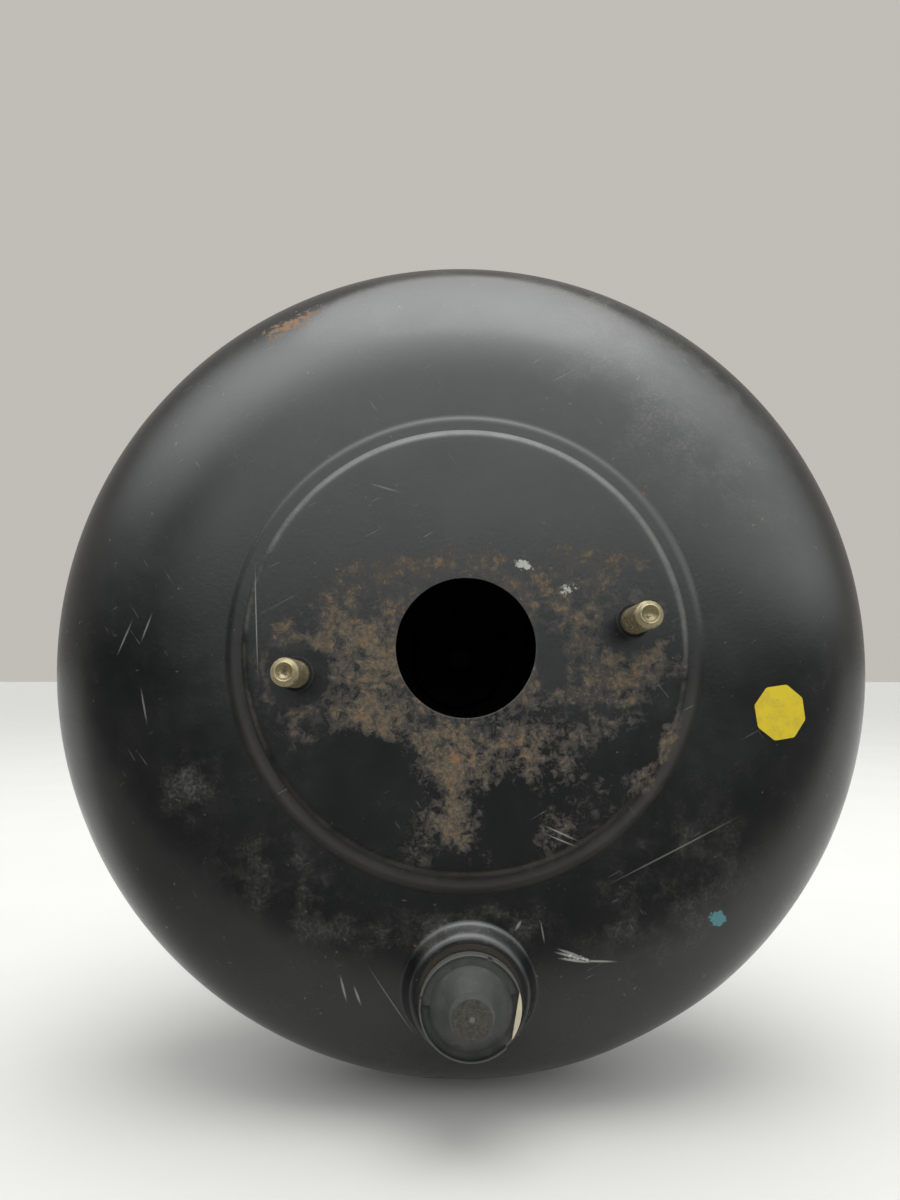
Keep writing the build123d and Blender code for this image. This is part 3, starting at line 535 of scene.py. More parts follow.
        lines = [graph.mask(effects.scratches, Place=place, Turn=turn, Scale=1.6, Amount=amount)
                 for turn, amount in ((0.5, 0.38), (2.2, 0.28))]
        lines += [mark.mask(graph, effects, place) for mark in PALE_LINES]
        scored = graph.highest(lines)
        colour = graph.blend(graph.product(scored, 0.62), colour, self.scratch)
        bare = graph.highest([mark.mask(graph, effects, place) for mark in CHIPPED_MARKS])
        flaked = graph.mask(effects.blotch, Place=place, Cover=bare, Scale=1.1, Ragged=2.0)
        colour = graph.blend(graph.product(flaked, 0.8), colour, self.scratch)
        spot = Mark(73.5, -78.5, 3.4, 2.4, -35, 0.6, 0.78).mask(graph, effects, place)
        spotted = graph.mask(effects.blotch, Place=place, Cover=spot, Scale=0.55, Ragged=1.7)
        colour = graph.blend(spotted, colour, self.paint_spot)

        graph.feed(shader.inputs["Base Color"], colour)
        graph.feed(shader.inputs["Roughness"], graph.math("MINIMUM", roughness, 0.92))
        peel = graph.mask(effects.grain, Place=place, Scale=0.8)
        pits = graph.mask(effects.grain, Place=place, Scale=2.4)
        height = graph.math("ADD", graph.product(peel, 0.16), graph.product(pits, crust, 0.8))
        height = graph.math("SUBTRACT", height, graph.product(scored, 0.35))
        self.relief(graph, shader, height, 0.16)


@dataclass(frozen=True)
class PlainBlackPaint(Finish):
    """The same paint on the sheltered side, with dust and small chips only."""

    paint: Colour = (0.0075, 0.0078, 0.0080, 1.0)
    dust: Colour = (0.120, 0.115, 0.102, 1.0)
    rust: Colour = (0.180, 0.085, 0.040, 1.0)

    def write(self, graph: Graph, effects: Effects, shader: bpy.types.Node) -> None:
        """Feeds the shader."""
        place = graph.millimetres()
        film = graph.mask(effects.dust, Place=place, Scale=0.06, Amount=0.6)
        colour = graph.blend(graph.product(film, 0.4), self.paint, self.dust)
        rusted = graph.mask(effects.blotch, Place=place, Cover=0.22, Scale=0.14, Ragged=1.6)
        colour = graph.blend(graph.product(rusted, 0.7), colour, self.rust)
        lines = graph.mask(effects.scratches, Place=place, Turn=0.9, Scale=1.5, Amount=0.5)
        colour = graph.blend(graph.product(lines, 0.6), colour, (0.4, 0.39, 0.37, 1.0))
        graph.feed(shader.inputs["Base Color"], colour)
        rough = graph.math("ADD", graph.ease(graph.cloud(place, 0.04, 5.0), 0.3, 0.7, 0.31, 0.43),
                           graph.product(film, 0.25))
        graph.feed(shader.inputs["Roughness"], graph.math("ADD", rough, graph.product(rusted, 0.35)))
        peel = graph.mask(effects.grain, Place=place, Scale=0.8)
        self.relief(graph, shader, peel, 0.03)


@dataclass(frozen=True)
class PlatedMetal(Finish):
    """Zinc plated or bare steel with staining."""

    metal: Colour = (0.42, 0.37, 0.20, 1.0)
    stain: Colour = (0.10, 0.085, 0.045, 1.0)
    rust: Colour = (0.14, 0.07, 0.035, 1.0)
    cover: float = 0.35
    rusted: float = 0.2
    metallic: float = 0.85
    roughness: float = 0.38
    clean_end: Pair = (0.0, 0.0)
    specular: float = 0.5

    def write(self, graph: Graph, effects: Effects, shader: bpy.types.Node) -> None:
        """Feeds the shader."""
        place = graph.millimetres()
        cover = self.cover
        if self.clean_end != (0.0, 0.0):
            along = graph.node("SeparateXYZ", {0: place}).outputs[1]
            cover = graph.ease(along, *self.clean_end, self.cover, 0.0)
        stain = graph.mask(effects.blotch, Place=place, Cover=cover, Scale=0.42, Ragged=1.5)
        rust = graph.mask(effects.blotch, Place=place, Cover=self.rusted, Scale=0.8, Ragged=1.3)
        colour = graph.blend(graph.product(stain, 0.75), self.metal, self.stain)
        colour = graph.blend(graph.product(rust, 0.8), colour, self.rust)
        graph.feed(shader.inputs["Base Color"], colour)
        shader.inputs["Specular IOR Level"].default_value = self.specular
        dull = graph.highest([graph.product(stain, 0.45), rust])
        graph.feed(shader.inputs["Metallic"], graph.math("MULTIPLY_ADD", dull, -self.metallic, self.metallic))
        graph.feed(shader.inputs["Roughness"], graph.math("MULTIPLY_ADD", dull, 0.4, self.roughness))
        grain = graph.mask(effects.grain, Place=place, Scale=2.2)
        self.relief(graph, shader, graph.math("MULTIPLY_ADD", dull, 0.5, grain), 0.04)


@dataclass(frozen=True)
class Moulded(Finish):
    """Rubber, plastic or fibre: one colour with fading, dirt and a fine texture."""

    colour: Colour = (0.08, 0.08, 0.078, 1.0)
    dirt_and_crevice_shade: Colour = (0.05, 0.045, 0.036, 1.0)
    dirty: float = 0.5
    roughness: float = 0.55
    texture: float = 1.6
    depth: float = 0.05
    specular: float = 0.5

    def write(self, graph: Graph, effects: Effects, shader: bpy.types.Node) -> None:
        """Feeds the shader."""
        place = graph.millimetres()
        film = graph.mask(effects.dust, Place=place, Scale=0.16, Amount=self.dirty)
        shade = graph.cloud(place, 0.09, 4.0, 0.55)
        faded = tuple(0.75 * part for part in self.colour[:3]) + (1.0,)
        colour = graph.blend(graph.ease(shade, 0.3, 0.7), self.colour, faded)
        colour = graph.blend(film, colour, self.dirt_and_crevice_shade)
        graph.feed(shader.inputs["Base Color"], colour)
        shader.inputs["Specular IOR Level"].default_value = self.specular
        graph.feed(shader.inputs["Roughness"], graph.math("MULTIPLY_ADD", film, 0.3, self.roughness))
        grain = graph.mask(effects.grain, Place=place, Scale=self.texture)
        self.relief(graph, shader, grain, self.depth)


@dataclass(frozen=True)
class CapPlastic(Finish):
    """Weathered grey plastic of the check valve's cap, its broken stump rougher and darker, with painted
    highlights along its rim and stump edges.
    """

    plastic: Colour = (0.037, 0.040, 0.037, 1.0)
    chalk: Colour = (0.078, 0.078, 0.068, 1.0)
    stump: Colour = (0.040, 0.034, 0.026, 1.0)
    port: Pair = PORT

    def write(self, graph: Graph, effects: Effects, shader: bpy.types.Node) -> None:
        """Feeds the shader."""
        place = graph.millimetres()
        x, z = self.port
        film = graph.mask(effects.dust, Place=place, Scale=0.2, Amount=0.8)
        colour = graph.blend(film, self.plastic, self.chalk)
        face = Mark(x, z, 5.3, 5.3, 0, 0.08).mask(graph, effects, place)
        front = graph.ease(graph.node("SeparateXYZ", {0: place}).outputs[1], -142.6, -143.6)
        snapped = graph.product(face, front)
        mottle = graph.ease(graph.cloud(place, 1.4, 5.0, 0.7), 0.35, 0.7)
        worn = graph.blend(mottle, self.stump, self.chalk)
        colour = graph.blend(graph.product(snapped, 0.85), colour, worn)
        pip = Mark(x, z, 0.7, 0.7, 0, 0.3).mask(graph, effects, place)
        colour = graph.blend(graph.product(pip, 0.3), colour, (0.3, 0.3, 0.28, 1.0))
        # Painted highlights: lighter rings along the cap's rim and the stump's edge.
        edge = graph.highest([Ring(x, z, radius, 0.5).mask(graph, effects, place) for radius in (13.8, 5.7)])
        colour = graph.blend(graph.product(edge, 0.35), colour, (0.17, 0.17, 0.16, 1.0))
        graph.feed(shader.inputs["Base Color"], colour)
        shader.inputs["Specular IOR Level"].default_value = 0.2
        graph.feed(shader.inputs["Roughness"], graph.math("MULTIPLY_ADD", snapped, 0.3, 0.48))
        fine = graph.mask(effects.grain, Place=place, Scale=2.0)
        rough = graph.product(graph.cloud(place, 1.8, 5.0, 0.7), snapped, 4.0)
        self.relief(graph, shader, graph.math("ADD", fine, rough), 0.06)


@dataclass(frozen=True)
class LabelFilm(Finish):
    """Yellow film of the blank label, scuffed and a little dirty."""

    film: Colour = (0.60, 0.455, 0.004, 1.0)
    dirt_and_crevice_shade: Colour = (0.16, 0.125, 0.03, 1.0)

    def write(self, graph: Graph, effects: Effects, shader: bpy.types.Node) -> None:
        """Feeds the shader."""
        place = graph.millimetres()
        scuffs = graph.mask(effects.dust, Place=place, Scale=0.22, Amount=0.8)
        marks = graph.mask(effects.scratches, Place=place, Turn=0.7, Scale=2.5, Amount=0.7)
        colour = graph.blend(graph.product(scuffs, 0.6), self.film, self.dirt_and_crevice_shade)
        colour = graph.blend(marks, colour, self.dirt_and_crevice_shade)
        graph.feed(shader.inputs["Base Color"], colour)
        graph.feed(shader.inputs["Roughness"], graph.math("MULTIPLY_ADD", scuffs, 0.3, 0.38))
        grain = graph.mask(effects.grain, Place=place, Scale=1.2)
        self.relief(graph, shader, grain, 0.03)


@dataclass(frozen=True)
class Finishes:
    """Every finish of the booster, made into materials by name of its record slot or its own name."""

    made: dict[str, bpy.types.Material]

    @classmethod
    def build(cls, effects: Effects) -> "Finishes":
        """Makes all the materials.

        Args:
            effects: The shared node groups.

        Returns:
            The finishes with their materials.
        """
        steel = (0.36, 0.35, 0.33, 1.0)
        every = (
            WornBlackPaint("worn_black_paint"),
            PlainBlackPaint("black_paint"),
            PlatedMetal("yellow_zinc", (0.36, 0.295, 0.125, 1.0), (0.13, 0.10, 0.042, 1.0), cover=0.46,
                        rusted=0.26, roughness=0.36),
            PlatedMetal("dirty_zinc", (0.31, 0.265, 0.155, 1.0), (0.048, 0.035, 0.018, 1.0),
                        (0.036, 0.020, 0.010, 1.0), 0.68, 0.40, 0.62, 0.42, (-142.0, -144.2)),
            # Near-black steel with almost no gloss for the parts seen through the bore: painted shade of the
            # bore's inside.
            PlatedMetal("bore_shade_steel", (0.0036, 0.0034, 0.0031, 1.0), (0.0022, 0.002, 0.0018, 1.0),
                        metallic=0.1, roughness=0.55, specular=0.05),
            PlatedMetal("steel", steel, (0.12, 0.11, 0.10, 1.0), cover=0.3, rusted=0.15),
            PlatedMetal("dark_steel", (0.09, 0.088, 0.085, 1.0), (0.04, 0.04, 0.038, 1.0), cover=0.3,
                        rusted=0.1),
            Moulded("rubber", (0.016, 0.016, 0.016, 1.0), (0.085, 0.080, 0.070, 1.0), 0.7, 0.62, 1.2, 0.08),
            Moulded("dirty_rubber", (0.017, 0.014, 0.011, 1.0), (0.042, 0.034, 0.024, 1.0), 0.8, 0.75, 1.4,
                    0.12, 0.2),
            CapPlastic("grey_plastic"),
            Moulded("cream_plastic", (0.62, 0.55, 0.40, 1.0), (0.24, 0.20, 0.13, 1.0), 0.4, 0.45, 1.0, 0.03),
            Moulded("white_plastic", (0.62, 0.61, 0.57, 1.0), (0.25, 0.23, 0.20, 1.0), 0.3, 0.42, 1.0, 0.02),
            Moulded("phenolic", (0.008, 0.0065, 0.006, 1.0), (0.016, 0.014, 0.011, 1.0), 0.4, 0.62, 1.4,
                    0.03, 0.1),
            Moulded("felt", (0.30, 0.29, 0.26, 1.0), (0.13, 0.12, 0.10, 1.0), 0.6, 0.92, 3.5, 0.5),
            LabelFilm("label_film"),
        )
        return cls({finish.name: finish.material(effects) for finish in every})

    def __getitem__(self, name: str) -> bpy.types.Material:
        """The material of that name."""
        return self.made[name]


# ---------------------------------------------------------------- mesh helpers
def rounded(corners: Sequence[Corner], steps: int = 5) -> list[Pair]:
    """Rounds the corners of an open line.

    Args:
        corners: Radius from the axis, place along it, and rounding of each corner.
        steps: Segments in each rounding.

    Returns:
        Points of the rounded line.
    """
    line = [corners[0][:2]]
    for before, corner, after in zip(corners, corners[1:], corners[2:]):
        middle = Vector(corner[:2])
        start = (Vector(before[:2]) - middle).normalized()
        end = (Vector(after[:2]) - middle).normalized()
        half = start.angle(end) / 2
        if corner[2] <= 0 or abs(half - math.pi / 2) < 0.01:
            line.append(corner[:2])
            continue
        reach = corner[2] / math.tan(half)
        centre = middle + (start + end).normalized() * corner[2] / math.sin(half)
        first = middle + start * reach - centre
        turn = first.angle_signed(middle + end * reach - centre)
        for step in range(steps + 1):
            spoke = first.copy()
            spoke.rotate(Matrix.Rotation(-turn * step / steps, 2))
            line.append(tuple(centre + spoke))
    line.append(corners[-1][:2])
    return line


def closed(*corners: Corner) -> list[Pair]:
    """Points of a closed line with its corners rounded, all but the first."""
    return rounded((*corners, corners[0]))[:-1]


def beside(line: Sequence[Pair], gap: float) -> list[Pair]:
    """The line moved sideways by gap, to the right of its direction, in reverse order."""
    moved = []
    for index, point in enumerate(line):
        before = Vector(line[max(index - 1, 0)])
        after = Vector(line[min(index + 1, len(line) - 1)])
        along = (after - before).normalized()
        moved.append((point[0] + along.y * gap, point[1] - along.x * gap))
    return moved[::-1]


@dataclass(frozen=True)
class Lathe:
    """Turns closed or open lines about a line along Y through (x, z)."""

    x: float = 0.0
    z: float = 0.0

    def turn(self, work: bmesh.types.BMesh, line: Sequence[Pair], steps: int = 96, start: float = 0.0,
             sweep: float = 360.0, closed: bool = True) -> None:
        """Adds a turned surface.

        Args:
            work: Mesh that it is added to.
            line: Radius and place along the axis of each point.
            steps: Segments of the sweep.
            start: First angle, in degrees, seen from the front.
            sweep: Angle turned.
            closed: Whether the line's last point joins its first.
        """
        centre = Vector((self.x, 0.0, self.z)) * MM
        out = direction(start)
        points = [work.verts.new(centre + (out * radius + Vector((0.0, y, 0.0))) * MM) for radius, y in line]
        pairs = list(zip(points, points[1:]))
        if closed:
            pairs.append((points[-1], points[0]))
        edges = [work.edges.new(pair) for pair in pairs]
        whole = abs(sweep - 360.0) < 1e-6
        bmesh.ops.spin(work, geom=points + edges, cent=centre, axis=(0.0, -1.0, 0.0), dvec=(0.0, 0.0, 0.0),
                       angle=math.radians(sweep), steps=steps, use_merge=whole, use_normal_flip=False,
                       use_duplicate=False)
        if not whole and closed:
            bmesh.ops.holes_fill(work, edges=[e for e in work.edges if e.is_boundary], sides=0)


def tidy(work: bmesh.types.BMesh) -> None:
    """Merges doubled points and faces the surface outwards."""
    bmesh.ops.remove_doubles(work, verts=work.verts, dist=1e-6)
    bmesh.ops.dissolve_degenerate(work, edges=work.edges, dist=1e-7)
    bmesh.ops.recalc_face_normals(work, faces=work.faces)


def piece(name: str, work: bmesh.types.BMesh, material: bpy.types.Material,
          crease: float = 34.0) -> bpy.types.Object:
    """Turns a finished bmesh into an object in the scene.

    Args:
        name: Name of the piece.
        work: Its mesh, which is freed.
        material: Its finish.
        crease: Edges bent by more than this many degrees stay sharp.

    Returns:
        The new object.
    """
    mesh = bpy.data.meshes.new(name)
    work.to_mesh(mesh)
    work.free()
    mesh.shade_smooth()
    mesh.set_sharp_from_angle(angle=math.radians(crease))
    mesh.materials.append(material)
    made = bpy.data.objects.new(name, mesh)
    bpy.context.scene.collection.objects.link(made)
    return made


def settle(made: bpy.types.Object, slot: Slot, *nodes: str) -> None:
    """Puts a piece on the housing and hides the nodes that it stands for."""
    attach(made, HOUSING)
    if nodes:
        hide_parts(*nodes)
    LOG.info("%s: %d faces", made.name, len(made.data.polygons))


def absorb(work: bmesh.types.BMesh, part: bmesh.types.BMesh) -> None:
    """Adds a second bmesh to the first and frees it."""
    held = bpy.data.meshes.new("held")
    part.to_mesh(held)
    part.free()
    work.from_mesh(held)
    bpy.data.meshes.remove(held)


def cut_off(work: bmesh.types.BMesh, point: Vector, out: Vector, keep_inside: bool) -> None:
    """Cuts the mesh by a plane, drops one side of it and closes the cut.

    Args:
        work: The mesh.
        point: A point of the plane, in metres.
        out: The plane's normal.
        keep_inside: Whether the side behind the normal stays.
    """
    cut = bmesh.ops.bisect_plane(work, geom=work.verts[:] + work.edges[:] + work.faces[:], dist=1e-7,
                                 plane_co=point, plane_no=out, clear_outer=keep_inside,
                                 clear_inner=not keep_inside)
    rim = [item for item in cut["geom_cut"] if isinstance(item, bmesh.types.BMEdge)]
    bmesh.ops.holes_fill(work, edges=rim, sides=0)


def soft_least(a: float, b: float, width: float) -> float:
    """The smaller of two numbers, with the change rounded over width."""
    part = max(width - abs(a - b), 0.0) / width
    return min(a, b) - part * part * width / 4.0


# ---------------------------------------------------------------- sub-assemblies
@dataclass
class FrontShell:
    """Pressed front shell: seat and its steps, dome, wall flats, port seat and crimped skirt."""

    face: float = -124.0
    sheet: float = 1.4
    bore: float = 20.5
    crest: float = 70.0
    step: float = 1.3
    wall: float = 133.0
    dome: float = 39.0
    skirt: float = 136.4
    shoulder: float = -67.4
    skirt_end: float = -61.6
    flats: tuple[Pair, ...] = ((138.0, 2.0), (297.0, 2.7))
    flat_span: Pair = (-112.0, -70.6)
    port: Pair = PORT
    port_seat: float = -127.0
    tabs: int = 12
    tab_width: float = 22.0
    tab_inner: float = 130.5
    fine: Pair = (-103.0, 28.0)
    fine_steps: int = 112
    coarse_steps: int = 240
    fine_reach: float = 123.0
    seat_row: float = 1.5
    seat_flat: float = 42.0
    steps_out: tuple[Corner, ...] = (
        (63.7, 0.0, 3.6), (65.5, 0.75, 0.12), (68.6, 0.75, 4.6), (70.1, 1.3, 0.0))
    flat_from: Pair = (110.0, 118.0)
    flat_blend: float = 1.6
    port_zone: Pair = (70.5, 126.0)
    port_stops: tuple[Pair, ...] = ((0.0, 0.0), (12.5, 14.8), (20.5, 20.3), (27.0, 27.0))
    port_wall: Pair = (14.3, 6.1)
    port_lean: float = 1.25
    weld: float = 2e-6

    def sunk(self, radius: float) -> float:
        """How far the dome lies behind its full curve, next to the seat's outer step."""
        return self.step * (1.0 - smooth_step(radius, self.crest, self.crest + 30.0))

    def dome_at(self, radius: float, inset: float = 0.0) -> float:
        """Place along the axis of the dome at a radius."""
        part = min(max((radius - self.crest) / (self.wall - inset - self.crest), 0.0), 1.0)
        return self.face + self.dome - (self.dome - inset) * math.sqrt(1.0 - part * part) + self.sunk(radius)

    @property
    def seat_rows(self) -> int:
        """How many rows of points the flat of the seat has."""
        return int(self.seat_flat / self.seat_row)

    def dome_line(self, inset: float, step: float, far_step: float) -> list[Pair]:
        """Points down the dome to the wall, step apart as far as the port and far_step after it."""
        wide = self.wall - inset - self.crest
        tall = self.dome - inset
        points = []
        angle = math.asin(0.7 / wide)
        while angle < math.pi / 2:
            radius = self.crest + wide * math.sin(angle)
            points.append((radius, self.face + self.dome - tall * math.cos(angle) + self.sunk(radius)))
            pace = math.hypot(wide * math.cos(angle), tall * math.sin(angle))
            angle += (step if points[-1][0] < self.fine_reach else far_step) / pace
        return points + [(self.wall - inset, self.face + self.dome)]

    def seat_line(self, inset: float) -> list[Pair]:
        """Points from the bore over the seat and its two outward steps to the crest."""
        y = self.face + inset
        rows = [(self.bore + row * self.seat_row, y, 0.0) for row in range(self.seat_rows)]
        return rounded((*rows, *((radius, y + back, rounding) for radius, back, rounding in self.steps_out)))

    def meridian(self) -> list[Pair]:
        """Closed section of the shell."""
        outer = self.seat_line(0.0) + self.dome_line(0.0, 0.66, 1.5)
        outer += rounded(((self.wall, -84.0, 0.0), (self.wall, -78.0, 0.0), (self.wall, -73.0, 0.0),
                          (self.wall, self.shoulder - 1.8, 1.6), (self.skirt, self.shoulder + 1.2, 1.6),
                          (self.skirt, self.skirt_end, 0.0)))
        inner_skirt = self.skirt - self.sheet
        inner_wall = self.wall - self.sheet
        inner = [(inner_skirt, self.skirt_end), (inner_skirt, -66.0), (inner_wall, -66.0),
                 (inner_wall, -78.0)]
        inner += self.dome_line(self.sheet, 4.0, 4.0)[::-1]
        inner += self.seat_line(self.sheet)[-2:self.seat_rows - 1:-2] + [(self.bore, self.face + self.sheet)]
        return outer + inner

    def press(self, work: bmesh.types.BMesh) -> None:
        """Presses the flats into the wall and raises the port's seat."""
        for vert in work.verts:
            place = vert.co / MM
            radius = math.hypot(place.x, place.z)
            outside = place.y < self.dome_at(radius, 0.0) + 0.3 or radius > self.wall - 0.4
            for angle, depth in self.flats:
                out = direction(angle)
                reach = place.dot(out)
                limit = self.wall - depth - (0.0 if outside else self.sheet)
                hold = 1.0 - smooth_step(place.y, self.flat_span[1] - 1.5, self.flat_span[1] + 1.5)
                hold *= smooth_step(radius, *self.flat_from)
                place += out * (soft_least(reach, limit, self.flat_blend) - reach) * hold
            if outside and self.port_zone[0] < radius < self.port_zone[1]:
                place = self.raise_port(place)
            vert.co = place * MM

    def raise_port(self, place: Vector) -> Vector:
        """Moves a point of the dome onto the port's raised seat or its S-shaped wall."""
        apart = Vector((place.x - self.port[0], 0.0, place.z - self.port[1]))
        far = apart.length
        if far < 1e-6:
            return Vector((place.x, self.port_seat, place.z))
        if far > self.port_stops[-1][0]:
            return place
        for (low, low_to), (high, high_to) in zip(self.port_stops, self.port_stops[1:]):
            if far <= high:
                moved = low_to + (high_to - low_to) * (far - low) / (high - low)
                break
        spot = Vector((self.port[0], 0.0, self.port[1])) + apart / far * moved
        ground = self.dome_at(math.hypot(spot.x, spot.z))
        start, width = self.port_wall
        part = (min(max(moved - start, 0.0), width) / width) ** self.port_lean
        rise = 1.0 - smooth_step(smooth_step(part, 0.0, 1.0), 0.0, 1.0)
        spot.y = ground + (self.port_seat - ground) * rise
        return spot

    def crimp(self, work: bmesh.types.BMesh) -> None:
        """Adds the tabs that are bent over the rear shell's flange."""
        end = -59.0
        inner_skirt = self.skirt - self.sheet
        line = closed((inner_skirt, self.skirt_end, 0.0), (self.skirt, self.skirt_end, 0.0),
                      (self.skirt, end, 1.6), (self.tab_inner, end, 0.4),
                      (self.tab_inner, end - self.sheet, 0.2), (inner_skirt, end - self.sheet, 0.3))
        half = math.degrees(self.tab_width / 2 / self.wall)
        for tab in range(self.tabs):
            middle = 15.0 + tab * 360.0 / self.tabs
            Lathe().turn(work, line, 10, middle - half, 2 * half)

    def mark(self, work: bmesh.types.BMesh) -> None:
        """Writes how much rust and dust each point carries, for the paint to read."""
        rust = work.verts.layers.float.new(RUST_LAYER)
        dust = work.verts.layers.float.new(DUST_LAYER)
        for vert in work.verts:
            x, z = vert.co.x / MM, vert.co.z / MM
            clean = max(mark.at(x, z) for mark in CLEAN_MARKS)
            vert[rust] = max(max(mark.at(x, z) for mark in RUST_MARKS + RUST_RINGS) - 0.8 * clean, 0.0)
            vert[dust] = max(mark.at(x, z) for mark in DUST_MARKS)

    def build(self, finishes: Finishes) -> None:
        """Builds and dresses the shell."""
        work = bmesh.new()
        line = self.meridian()
        start, sweep = self.fine
        for first, turned, steps in ((start, sweep, self.fine_steps),
                                     (start + sweep, 360.0 - sweep, self.coarse_steps)):
            part = bmesh.new()
            Lathe().turn(part, line, steps, first, turned)
            caps = [face for face in part.faces if len(face.verts) > 4]
            bmesh.ops.delete(part, geom=caps, context="FACES_ONLY")
            absorb(work, part)
        bmesh.ops.remove_doubles(work, verts=work.verts, dist=self.weld)
        self.press(work)
        self.crimp(work)
        tidy(work)
        self.mark(work)
        made = piece("front_shell_pressing", work, finishes["worn_black_paint"], 40.0)
        settle(made, Slot.BLACK_PAINT, "front_shell")


@dataclass
class ThreadedStuds:
    """Short studs with a rolled thread and a dished end."""

    name: str
    places: tuple[Pair, ...]
    seat: float
    tip: float
    node: str
    finish: str = "dirty_zinc"
    radius: float = 4.0
    pitch: float = 1.25
    depth: float = 0.55
    columns: int = 48
    rows_per_turn: int = 8
    run_out: Pair = (0.9, 2.2)
    run_in: Pair = (1.0, 3.0)
    end: tuple[Pair, ...] = ((3.55, 1.25), (2.85, 0.25), (2.7, 0.05), (2.55, 0.0), (2.4, 0.05), (2.25, 0.3),
                             (1.9, 0.85), (1.3, 1.35), (0.7, 1.6), (0.0, 1.7))

    def build(self, finishes: Finishes) -> None:
        """Builds and dresses the studs."""
        work = bmesh.new()
        way = 1.0 if self.tip > self.seat else -1.0
        length = abs(self.tip - self.seat)
        rows = int((length - 1.0) / (self.pitch / self.rows_per_turn))
        pace = (length - 0.5) / rows
        shank = [(self.radius, self.seat + way * (-1.0 + row * pace)) for row in range(rows + 1)]
        end = [(radius, self.tip - way * back) for radius, back in self.end]
        for x, z in self.places:
            shaft = bmesh.new()
            Lathe(x, z).turn(shaft, shank + end, self.columns, closed=False)
            for vert in shaft.verts:
                self.cut_thread(vert, x, z, way)
            absorb(work, shaft)
        tidy(work)
        made = piece(self.name, work, finishes[self.finish], 50.0)
        settle(made, Slot.YELLOW_ZINC, self.node)

    def cut_thread(self, vert: bmesh.types.BMVert, x: float, z: float, way: float) -> None:
        """Sinks a point of the shank into the thread's groove."""
        place = vert.co / MM
        apart = Vector((place.x - x, 0.0, place.z - z))
        if apart.length < self.radius - 0.1:
            return
        turn = math.atan2(apart.z, apart.x) / (2 * math.pi)
        wave = (place.y / self.pitch - turn) % 1.0
        groove = 1.0 - abs(2.0 * wave - 1.0)
        near_tip = smooth_step(way * (self.tip - place.y), *self.run_out)
        near_seat = smooth_step(way * (place.y - self.seat), *self.run_in)
        sunk = self.radius - self.depth * groove * near_tip * near_seat
        apart = apart.normalized() * sunk
        vert.co = Vector((x + apart.x, place.y, z + apart.z)) * MM


